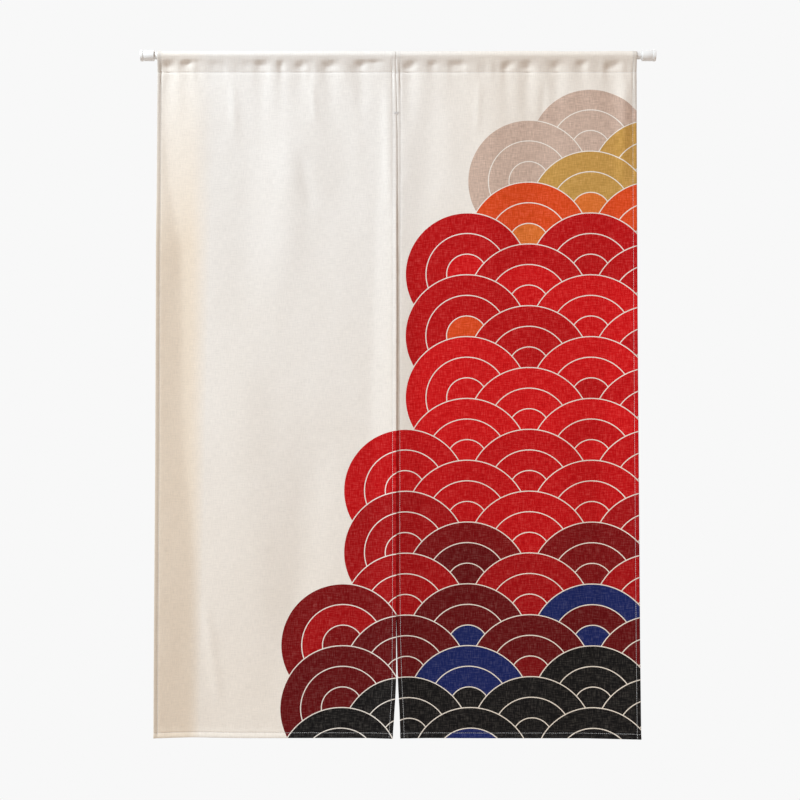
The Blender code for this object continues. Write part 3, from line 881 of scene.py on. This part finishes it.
def linen_canvas(look, print_look):
    """Linen and cotton canvas in plain weave, printed on its face: matt, with thick and thin threads
    that run both ways, pale flecks where the ink misses a thread, and a paler reverse."""
    material, tree, shader = new_material("printed_linen_canvas")
    node = partial(add_node, tree)
    flat = node("UVMap", uv_map="flat_cloth")
    inks, inked = wave_print(node, flat, print_look)
    # Thick and thin threads: grains one drawn thread wide and many threads long, both ways.
    thread = look.thread_spacing * look.thread_show
    weft = stretched_noise(node, flat, look.slub_length, thread)
    warp = stretched_noise(node, flat, thread, look.slub_length)
    mingled = node("Math", (weft, warp), operation="ADD")
    slubs = node("Math", (mingled, 0.5), operation="MULTIPLY")
    ground = bare_cloth(node, flat, slubs, look)
    # Ink sits on the raised threads, so the thickest ones and the hollows show pale through it.
    missed = node("MapRange", (slubs, *INK_MISSED))
    kept = node("Math", (1.0, missed), operation="SUBTRACT")
    cover = node("Math", (inked, kept), operation="MULTIPLY")
    reverse = node("Attribute", attribute_name="reverse", out="Fac")
    through = node("MapRange", (reverse, 0.0, 1.0, 1.0, look.strike_through))
    cover = node("Math", (cover, through), operation="MULTIPLY")
    ink_tone = node("MapRange", (slubs, *INK_TONE))
    inks = node("VectorMath", {0: inks, "Scale": ink_tone}, operation="SCALE")
    printed = {"Factor_Float": cover, "A_Color": ground, "B_Color": inks}
    relief = node("Math", (plain_weave(node, flat, thread), WEAVE_SHARE, slubs), operation="MULTIPLY_ADD")
    raised = {"Strength": 0.55, "Distance": look.thread_spacing / 2, "Height": relief}
    looks = {
        "Base Color": node("Mix", printed, out="Result_Color", data_type="RGBA"),
        "Roughness": node("MapRange", (slubs, *CANVAS_ROUGHNESS)),
        "Normal": node("Bump", raised),
        "Sheen Weight": 0.03,
        "Sheen Roughness": 0.6,
        "Specular IOR Level": 0.12,
    }
    feed(tree, shader, looks)
    return material


def sewing_thread(colour):
    """Spun polyester sewing thread: soft, slightly shiny, with the fine slant of its twist."""
    material, tree, shader = new_material("spun_polyester_thread")
    node = partial(add_node, tree)
    spots = node("TexCoord", out="Object")
    twist = node("TexWave", {"Vector": spots, "Scale": 420.0}, out="Fac", bands_direction="DIAGONAL")
    tone = node("MapRange", (twist, 0.0, 1.0, 0.86, 1.04))
    shade = node("VectorMath", {0: tuple(colour), "Scale": tone}, operation="SCALE")
    bump = node("Bump", {"Strength": 0.3, "Distance": 0.0001, "Height": twist})
    feed(tree, shader, {"Base Color": shade, "Normal": bump, "Roughness": 0.62})
    return material


def marked_material(name, colour, marks, tone, rough=None, relief=None, bump=None, **own):
    """A material of one colour. A noise of marks changes its tone, and its roughness if that is given,
    between the two values of each. A finer noise can stand up from it as relief. What is the same all
    over it is set on the shader's own sockets."""
    material, tree, shader = new_material(name)
    node = partial(add_node, tree)
    spots = {"Vector": node("TexCoord", out="Object")}
    marked = node("TexNoise", spots | marks)
    toned = node("MapRange", (marked, 0.0, 1.0, *tone))
    shade = node("VectorMath", {0: tuple(colour), "Scale": toned}, operation="SCALE")
    looks = {"Base Color": shade, **own}
    if rough:
        looks["Roughness"] = node("MapRange", (marked, 0.0, 1.0, *rough))
    if relief:
        looks["Normal"] = node("Bump", bump | {"Height": node("TexNoise", spots | relief)})
    feed(tree, shader, looks)
    return material


def powder_coated_steel(colour):
    """White powder-coated steel tube: satin, with the faint orange peel of a baked coat."""
    dust, peel = {"Scale": 60.0, "Detail": 4.0}, {"Scale": 900.0, "Detail": 2.0}
    coat = {"relief": peel, "bump": {"Strength": 0.25, "Distance": 0.0001}}
    return marked_material("powder_coated_steel", colour, dust, (0.95, 1.0), (0.28, 0.42), **coat)


def moulded_polypropylene(colour):
    """White injection-moulded polypropylene: softly glossy, with a fine spark-eroded grain."""
    handled, grain = {"Scale": 90.0, "Detail": 3.0}, {"Scale": 1800.0, "Detail": 3.0}
    skin = {"relief": grain, "bump": {"Strength": 0.2, "Distance": 0.00008}}
    depth = {"Subsurface Weight": 0.08, "Subsurface Radius": (0.002, 0.002, 0.002)}
    return marked_material(
        "moulded_polypropylene", colour, handled, (0.94, 1.0), (0.36, 0.50), **skin, **depth
    )


def studio_floor(colour):
    """Matt painted studio floor, pale, with the faint marks of a roller."""
    marks = {"Scale": 3.0, "Detail": 4.0}
    return marked_material("matt_painted_floor", colour, marks, (0.97, 1.0), Roughness=0.8)


# Turned pieces: their steps round, how near two corners are one, and how much of a profile's side the
# rounding of a corner may take
ROUND_STEPS = 64
SAME_PLACE = 1e-6
MOST_CUT = 0.45


def spun_mesh(name, profile):
    """A turned piece: a profile of (x, radius) corners spun about the rod's axis."""
    shape = bmesh.new()
    corners = [shape.verts.new((x, 0.0, radius)) for x, radius in profile]
    edges = [shape.edges.new(pair) for pair in zip(corners, corners[1:])]
    turn = {"cent": (0.0, 0.0, 0.0), "axis": (1.0, 0.0, 0.0), "angle": 2 * pi, "steps": ROUND_STEPS}
    bmesh.ops.spin(shape, geom=[*corners, *edges], use_merge=True, **turn)
    bmesh.ops.remove_doubles(shape, verts=shape.verts, dist=SAME_PLACE)
    bmesh.ops.recalc_face_normals(shape, faces=shape.faces)
    mesh = bpy.data.meshes.new(name)
    shape.to_mesh(mesh)
    shape.free()
    mesh.shade_smooth()
    mesh.set_sharp_from_angle(angle=radians(SHARP_TURNED))
    return mesh


def rounded(profile, radius, steps):
    """A profile with each of its inner corners rounded off by a short curve."""
    smooth = [profile[0]]
    for before, corner, after in zip(profile, profile[1:], profile[2:]):
        here = Vector(corner)
        back, on = Vector(before) - here, Vector(after) - here
        cut = min(radius, back.length * MOST_CUT, on.length * MOST_CUT)
        start, end = here + back.normalized() * cut, here + on.normalized() * cut
        for t in np.linspace(0.0, 1.0, steps + 1):
            smooth.append(tuple(start * (1 - t) ** 2 + here * 2 * t * (1 - t) + end * t**2))
    return [*smooth, profile[-1]]


# A stitch may turn this far on the cloth, in radians. Its ends dip and its middle rises by these shares
# of the thread's thickness, and it lies proud of the cloth by THREAD_PROUD of it.
STITCH_SKEW = 0.07
STITCH_DIP = -0.5
STITCH_CREST = 0.7
THREAD_PROUD = 0.12


def stitch_shape(node, length, thickness):
    """One stitch: a short arched thread with its ends down in the cloth."""
    half = node("Math", (length, 0.5), operation="MULTIPLY")
    back = node("Math", (half, -1.0), operation="MULTIPLY")
    dip = node("Math", (thickness, STITCH_DIP), operation="MULTIPLY")
    crest = node("Math", (thickness, STITCH_CREST), operation="MULTIPLY")
    radius = node("Math", (thickness, 0.5), operation="MULTIPLY")
    start = node("CombineXYZ", (back, 0.0, dip))
    middle = node("CombineXYZ", (0.0, 0.0, crest))
    end = node("CombineXYZ", (half, 0.0, dip))
    bow = {"Resolution": 4, "Start": start, "Middle": middle, "End": end}
    arch = node("GeometryNodeCurveQuadraticBezier", bow)
    section = node("GeometryNodeCurvePrimitiveCircle", {"Resolution": 6, "Radius": radius})
    return node("GeometryNodeCurveToMesh", {"Curve": arch, "Profile Curve": section, "Fill Caps": True})


def stitch_tree(material):
    """Sewing stitches along the lines of a guide mesh, each lying on the cloth and along its line."""
    tree = bpy.data.node_groups.new("machine_stitching", "GeometryNodeTree")
    node = partial(add_node, tree)
    sockets = {"Guide lines": "Geometry", "Stitch spacing": "Float", "Stitch length": "Float"}
    sockets |= {"Thread thickness": "Float", "Seed": "Int"}
    for name, kind in sockets.items():
        tree.interface.new_socket(name, in_out="INPUT", socket_type="NodeSocket" + kind)
    tree.interface.new_socket("Stitches", in_out="OUTPUT", socket_type="NodeSocketGeometry")
    given = node("NodeGroupInput").node.outputs
    lines = node("GeometryNodeMeshToCurve", {"Mesh": given["Guide lines"]})
    pitch = {"Curve": lines, "Length": given["Stitch spacing"]}
    spaced = node("GeometryNodeResampleCurve", pitch, mode="LENGTH")
    tangent = node("GeometryNodeInputTangent")
    named = {"out": "Attribute", "data_type": "FLOAT_VECTOR"}
    lies = node("GeometryNodeInputNamedAttribute", {"Name": "cloth_normal"}, **named)
    along = node("FunctionNodeAlignRotationToVector", {"Vector": tangent}, axis="X")
    upright = {"Rotation": along, "Vector": lies}
    lying = node("FunctionNodeAlignRotationToVector", upright, axis="Z", pivot_axis="X")
    skews = {"Min_001": -STITCH_SKEW, "Max_001": STITCH_SKEW, "Seed": given["Seed"]}
    slant = node("FunctionNodeRandomValue", skews, out="Value_001", data_type="FLOAT")
    skewed = node("FunctionNodeAxisAngleToRotation", {"Axis": (0.0, 0.0, 1.0), "Angle": slant})
    both = {"Rotation": lying, "Rotate By": skewed}
    turned = node("FunctionNodeRotateRotation", both, rotation_space="LOCAL")
    stitch = stitch_shape(node, given["Stitch length"], given["Thread thickness"])
    each = {"Points": spaced, "Instance": stitch, "Rotation": turned}
    placed = node("GeometryNodeInstanceOnPoints", each)
    real = node("GeometryNodeRealizeInstances", {"Geometry": placed})
    smooth = node("GeometryNodeSetShadeSmooth", {"Geometry": real})
    finished = node("GeometryNodeSetMaterial", {"Geometry": smooth, "Material": material})
    node("NodeGroupOutput", (finished,))
    return tree


def guide_mesh(name, lines):
    """Lines of points with the cloth's normal at each, as a mesh of edges alone."""
    edges, start = [], 0
    for points, _ in lines:
        edges += [(k, k + 1) for k in range(start, start + len(points) - 1)]
        start += len(points)
    mesh = bpy.data.meshes.new(name)
    mesh.from_pydata(np.concatenate([points for points, _ in lines]), edges, [])
    add_values(mesh, "cloth_normal", "FLOAT_VECTOR", np.concatenate([normals for _, normals in lines]))
    return mesh


# The casing's back stitches run along the last row but one, and a flap's start this far up the rows.
CASING_BACK_ROW = -2
FLAP_START = 3


def stitch_lines(surface, thread):
    """The lines of stitching on one panel: (points, normals) of each, just proud of the cloth."""
    columns, rows = surface.columns, surface.rows
    proud = surface.middle + surface.normal * (surface.half + thread * THREAD_PROUD)[..., None]
    main = slice(columns.main[0], columns.main[-1] + 1)
    level = (rows.hem_flap_stitch, rows.hem_stitch, rows.stitch, CASING_BACK_ROW)
    picks = [(row, main) for row in level]
    picks += [(slice(rows.first_main, rows.casing_end), column) for column in columns.face_stitch]
    picks += [(slice(rows.first_main + FLAP_START, rows.stitch), side) for side in columns.flap_stitch]
    return [(proud[pick], surface.normal[pick]) for pick in picks]


def tack_lines(spacing, proud):
    """The bar tack that ends the seam above the slit: (points, normals) of each of its short rows, a
    hair over one or two stitches long."""
    left, right = PANELS
    lines = []
    for row in range(TACK_ROWS):
        drop = SEAM_END - row * TACK_PITCH
        middle = (sides(left, drop)[1] + sides(right, drop)[0]) / 2
        reach = 1.001 * spacing / (1 + row % 2)
        ends = ((left, middle - reach), (right, middle + reach))
        points = [(x, skirt_y(panel, x, drop) - proud, TOP_Z - drop) for panel, x in ends]
        lines.append((np.array(points, dtype=float), np.tile((0.0, -1.0, 0.0), (2, 1))))
    return lines


def sewn(name, lines, tree, sizes):
    """The stitching along some lines as a plain mesh."""
    guide = bpy.data.objects.new(name, guide_mesh(name, lines))
    bpy.context.scene.collection.objects.link(guide)
    stitcher = guide.modifiers.new("stitching", "NODES")
    stitcher.node_group = tree
    for item in tree.interface.items_tree:
        if item.name in sizes:
            stitcher[item.identifier] = sizes[item.name]
    depsgraph = bpy.context.evaluated_depsgraph_get()
    mesh = bpy.data.meshes.new_from_object(guide.evaluated_get(depsgraph))
    mesh.name = name
    bpy.data.objects.remove(guide, do_unlink=True)
    return mesh


# The settings' kinds of value: a plain number, a length and a colour
Number = bpy.props.FloatProperty
Length = partial(bpy.props.FloatProperty, unit="LENGTH")
Colour = partial(bpy.props.FloatVectorProperty, subtype="COLOR", min=0.0, max=1.0)


class NorenClothSettings(bpy.types.PropertyGroup):
    thickness: Length(
        name="Cloth thickness", description="Thickness of one layer", default=0.0006, precision=5
    )
    thread_spacing: Length(
        name="Thread spacing", description="From thread to thread", default=0.0007, precision=5
    )
    thread_show: Number(
        name="Thread show", description="How many times coarser than real threads are drawn", default=2.0
    )
    slub_length: Length(
        name="Slub length", description="Length of a thick place in a thread", default=0.014
    )
    cloth_colour: Colour(name="Linen", description="Bare cloth", default=linear("F4F1EC"))
    cloth_shade: Colour(
        name="Linen shade", description="The cloth's darker patches", default=linear("EFEAE2")
    )
    # Painted shade: the warm tint and the width of its strip along the outer left edge. The tint also
    # reaches faintly towards the hem and the right
    shade_tint_colour: Colour(
        name="Painted shade tint", description="Warm shade painted along the outer left edge", default=linear("FFF4E5")
    )
    shade_tint_width: Length(name="Painted shade width", description="Width of the strip of painted warm shade", default=0.072)
    strike_through: Number(
        name="Strike through", description="Share of the ink that shows on the reverse", default=0.42,
        subtype="FACTOR", min=0.0, max=1.0,
    )


class NorenPrintSettings(bpy.types.PropertyGroup):
    scale_radius: Length(name="Scale radius", description="Radius of one round scale", default=0.108)
    bands: bpy.props.IntProperty(
        name="Bands", description="Concentric bands in a scale", default=3, min=1
    )
    line_width: Length(
        name="Line width", description="Bare line between two bands", default=0.0017, precision=4
    )
    low_shore: Length(name="Low shore", description="Height of the field at its left", default=-0.16)
    high_shore: Length(name="High shore", description="Height of the field at its right", default=1.04)
    slope_start: Length(name="Slope start", description="Where the field starts to rise", default=0.10)
    slope_end: Length(name="Slope end", description="Where the field stops rising", default=0.70)
    scale_spread: Number(
        name="Scale spread", description="How far a scale's ink strays from its height's", default=0.11
    )
    band_spread: Number(
        name="Band spread", description="How far a band's ink strays from its scale's", default=0.05
    )


class NorenStitchSettings(bpy.types.PropertyGroup):
    spacing: Length(
        name="Stitch spacing", description="From stitch to stitch", default=0.0034, precision=4
    )
    length: Length(
        name="Stitch length", description="What shows of one stitch", default=0.0027, precision=4
    )
    thread: Length(
        name="Thread thickness", description="Thickness of the thread", default=0.0005, precision=5
    )
    colour: Colour(name="Thread", description="Sewing thread", default=linear("DDD2C2"))


class NorenRodSettings(bpy.types.PropertyGroup):
    wall: Length(name="Tube wall", description="Wall of the steel tube", default=0.0006, precision=5)
    rounding: Length(
        name="Cap rounding", description="Rounding of the caps' corners", default=0.0006, precision=5
    )
    rod_colour: Colour(name="Rod", description="Powder coat", default=linear("F2F2F0"))
    cap_colour: Colour(name="Caps", description="Moulded caps", default=linear("F6F6F4"))


class NorenStageSettings(bpy.types.PropertyGroup):
    lens: Number(name="Lens", description="Focal length in mm", default=85.0)
    distance: Length(
        name="Camera distance", description="From the camera to the cloth", default=3.30
    )
    aim_x: Length(
        name="Aim across", description="Middle of the picture along the rod", default=0.4533
    )
    aim_z: Length(
        name="Aim height", description="Middle of the picture below the rod", default=-0.6017
    )
    floor_drop: Length(name="Floor drop", description="From the hem to the floor", default=0.72)
    floor_radius: Length(name="Floor radius", description="Radius of the pale floor", default=2.6)
    floor_colour: Colour(name="Floor", description="Painted floor", default=linear("F4F3F1"))
    background: Colour(name="Background", description="Studio background", default=linear("F8F8F8"))
    key_power: Number(name="Key light", description="Power in watts", default=276.0)
    ambient: Number(name="Ambient light", description="Strength from all round", default=0.31)
    ambient_colour: Colour(
        name="Ambient colour", description="Light from all round", default=linear("FFDFC8")
    )


class NOREN_OT_rod(bpy.types.Operator):
    """Build the white steel tube that the casings hang from"""

    bl_idname = "noren.rod"
    bl_label = "Rod"

    def execute(self, context):
        look = context.scene.noren_rod
        low, high = ROD_BOX
        radius, bore = high.z, high.z - look.wall
        inside = ((low.x + high.x) / 2, bore)
        wall = ((low.x, bore), (low.x, radius), (high.x, radius), (high.x, bore))
        mesh = spun_mesh("steel_rod", rounded((inside, *wall, inside), look.wall / 3, 2))
        rod = place("steel_rod", mesh, powder_coated_steel(look.rod_colour))
        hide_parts("rod")
        return {"FINISHED"}


class NOREN_OT_caps(bpy.types.Operator):
    """Build the two white end caps of the rod"""

    bl_idname = "noren.caps"
    bl_label = "Rod caps"

    def execute(self, context):
        look = context.scene.noren_rod
        plastic = moulded_polypropylene(look.cap_colour)
        for node, box in (("cap_left", LEFT_CAP_BOX), ("cap_right", RIGHT_CAP_BOX)):
            outer_x, inner_x = (box[0].x, box[1].x) if node == "cap_left" else (box[1].x, box[0].x)
            mesh = spun_mesh(node, cap_profile(outer_x, inner_x, box[1].z, look.rounding))
            cap = place(node + "_moulding", mesh, plastic)
            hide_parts(node)
        return {"FINISHED"}


# A cap's own sizes
CAP_FOOT_LENGTH = 0.005
CAP_GROOVE = 0.0007
CAP_SLEEVE_STEP = 0.0005
CAP_SOCKET_END = 0.006
CAP_SOCKET_RADIUS = 0.0068
CAP_DISH_RADIUS = 0.0066
CAP_DISH_DEPTH = 0.0006
CAP_DISH_SLOPE = 0.0006
GATE_RADIUS = 0.0011
GATE_DEPTH = 0.0003
GATE_SLOPE = 0.0001


def cap_profile(outer_x, inner_x, foot_radius, rounding):
    """A cap's profile from the middle of its outer face to the bottom of its socket: a dished face with
    the mark of the mould's gate, a foot, a groove and a sleeve."""
    way, length = (1.0 if inner_x > outer_x else -1.0), abs(inner_x - outer_x)
    sleeve = foot_radius - CAP_SLEEVE_STEP
    corners = (
        (CAP_DISH_DEPTH + GATE_DEPTH, 0.0),
        (CAP_DISH_DEPTH + GATE_DEPTH, GATE_RADIUS),
        (CAP_DISH_DEPTH, GATE_RADIUS + GATE_SLOPE),
        (CAP_DISH_DEPTH, CAP_DISH_RADIUS),
        (0.0, CAP_DISH_RADIUS + CAP_DISH_SLOPE),
        (0.0, foot_radius),
        (CAP_FOOT_LENGTH, foot_radius),
        (CAP_FOOT_LENGTH, sleeve - CAP_GROOVE),
        (CAP_FOOT_LENGTH + CAP_GROOVE, sleeve - CAP_GROOVE),
        (CAP_FOOT_LENGTH + CAP_GROOVE, sleeve),
        (length, sleeve),
        (length, CAP_SOCKET_RADIUS),
        (CAP_SOCKET_END, CAP_SOCKET_RADIUS),
        (CAP_SOCKET_END, 0.0),
    )
    return [(outer_x + way * x, radius) for x, radius in rounded(corners, rounding, 3)]


class NOREN_OT_panels(bpy.types.Operator):
    """Build the two printed linen panels, with their casings and hems turned from the same cloth"""

    bl_idname = "noren.panels"
    bl_label = "Linen panels"

    def execute(self, context):
        look = context.scene.noren_cloth
        canvas = linen_canvas(look, context.scene.noren_print)
        for panel in PANELS:
            name = panel.name + "_cloth"
            cloth = place(name, sheet_mesh(name, panel_surface(panel, look.thickness)), canvas)
            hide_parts(panel.name)
        return {"FINISHED"}


class NOREN_OT_stitching(bpy.types.Operator):
    """Sew the casings, the hems and the seam at the top of the slit"""

    bl_idname = "noren.stitching"
    bl_label = "Stitching"

    def execute(self, context):
        look = context.scene.noren_stitch
        thickness = context.scene.noren_cloth.thickness
        tree = stitch_tree(sewing_thread(look.colour))
        sizes = {"Stitch spacing": look.spacing, "Stitch length": look.length}
        sizes["Thread thickness"] = look.thread
        for panel in PANELS:
            name = panel.name + "_stitching"
            lines = stitch_lines(panel_surface(panel, thickness), look.thread)
            if panel is PANELS[0]:
                lines += tack_lines(look.spacing, thickness / 2 + look.thread / 4)
            mesh = sewn(name, lines, tree, sizes | {"Seed": panel.seed})
            stitches = place(name, mesh, mesh.materials[0])
            length = CURTAIN_HEIGHT + 2 * BOTTOM_HEM + CASING_DEPTH + TURNED_EDGE
            cut = (finished_width(panel) + 4 * SIDE_HEM, length)
        return {"FINISHED"}


class NOREN_OT_stage(bpy.types.Operator):
    """Set up the pale floor, the soft studio light and the camera"""

    bl_idname = "noren.stage"
    bl_label = "Studio"

    def execute(self, context):
        look = context.scene.noren_stage
        build_floor(look)
        build_world(look)
        build_lights(look)
        build_camera(look)
        context.scene.view_settings.view_transform = "Standard"
        return {"FINISHED"}


def build_floor(look):
    """A round pale floor below the hem, small enough to stay out of the front view."""
    shape = bmesh.new()
    bmesh.ops.create_circle(shape, cap_ends=True, radius=look.floor_radius, segments=96)
    for corner in shape.verts:
        corner.co += Vector((look.aim_x, 0.0, TOP_Z - CURTAIN_HEIGHT - look.floor_drop))
    mesh = bpy.data.meshes.new("studio_floor")
    shape.to_mesh(mesh)
    shape.free()
    floor = bpy.data.objects.new("studio_floor", mesh)
    mesh.materials.append(studio_floor(look.floor_colour))
    bpy.context.scene.collection.objects.link(floor)


def build_world(look):
    """Soft light from all round, in front of a brighter plain background."""
    world = bpy.data.worlds.new("studio_world")
    world.use_nodes = True
    bpy.context.scene.world = world
    world.node_tree.nodes.clear()
    node = partial(add_node, world.node_tree)
    seen = node("LightPath", out="Is Camera Ray")
    soft = node("Background", {"Color": tuple(look.ambient_colour), "Strength": look.ambient})
    plain = node("Background", {"Color": tuple(look.background), "Strength": 1.0})
    node("OutputWorld", {"Surface": node("MixShader", (seen, soft, plain))})


# A broad key light high on the left, a weak fill on the right and a light behind. Each has its share of
# the key's power.
Light = namedtuple("Light", "name place size share colour")
LIGHTS = table(
    Light,
    ("key_light", (-2.4, -2.2, 2.6), 1.4, 1.0, "E8F5FF"),
    ("fill_light", (2.6, -2.4, 0.1), 2.2, 0.026, "FFF4E8"),
    ("back_light", (1.4, 2.6, 1.0), 2.0, 0.11, "FFF8F0"),
)


def build_lights(look):
    """The studio's lights, all aimed at the middle of the picture."""
    aim = Vector((look.aim_x, 0.0, look.aim_z))
    for row in LIGHTS:
        lamp = bpy.data.lights.new(row.name, "AREA")
        lamp.shape = "DISK"
        lamp.size = row.size
        lamp.energy = look.key_power * row.share
        lamp.color = linear(row.colour)
        light = bpy.data.objects.new(row.name, lamp)
        light.location = row.place
        light.rotation_euler = (aim - light.location).to_track_quat("-Z", "Y").to_euler()
        bpy.context.scene.collection.objects.link(light)


def build_camera(look):
    """The photograph's straight-on view."""
    camera = bpy.data.cameras.new("front_camera")
    camera.lens = look.lens
    camera.sensor_width = 36.0
    viewer = bpy.data.objects.new("front_camera", camera)
    viewer.location = (look.aim_x, -look.distance, look.aim_z)
    viewer.rotation_euler = (pi / 2, 0.0, 0.0)
    bpy.context.scene.collection.objects.link(viewer)
    bpy.context.scene.camera = viewer


class NOREN_PT_sidebar(bpy.types.Panel):
    """The noren's settings and its pieces"""

    bl_label = "Noren"
    bl_idname = "NOREN_PT_sidebar"
    bl_space_type = "VIEW_3D"
    bl_region_type = "UI"
    bl_category = "Noren"

    def draw(self, context):
        for name, settings in SETTINGS.items():
            box = self.layout.box()
            group = getattr(context.scene, name)
            for field in settings.__annotations__:
                box.prop(group, field)
        for operator in OPERATORS:
            self.layout.operator(operator.bl_idname)


SETTINGS = {
    "noren_cloth": NorenClothSettings,
    "noren_print": NorenPrintSettings,
    "noren_stitch": NorenStitchSettings,
    "noren_rod": NorenRodSettings,
    "noren_stage": NorenStageSettings,
}
OPERATORS = (NOREN_OT_rod, NOREN_OT_caps, NOREN_OT_panels, NOREN_OT_stitching, NOREN_OT_stage)


def register():
    for kind in (*SETTINGS.values(), *OPERATORS, NOREN_PT_sidebar):
        bpy.utils.register_class(kind)
    for name, settings in SETTINGS.items():
        setattr(bpy.types.Scene, name, bpy.props.PointerProperty(type=settings))


def unregister():
    for name in SETTINGS:
        delattr(bpy.types.Scene, name)
    for kind in (NOREN_PT_sidebar, *OPERATORS, *SETTINGS.values()):
        bpy.utils.unregister_class(kind)


def main():
    register()
    bpy.ops.noren.stage()
    bpy.ops.noren.rod()
    bpy.ops.noren.caps()
    bpy.ops.noren.panels()
    bpy.ops.noren.stitching()
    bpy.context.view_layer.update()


if __name__ == "__main__":
    main()
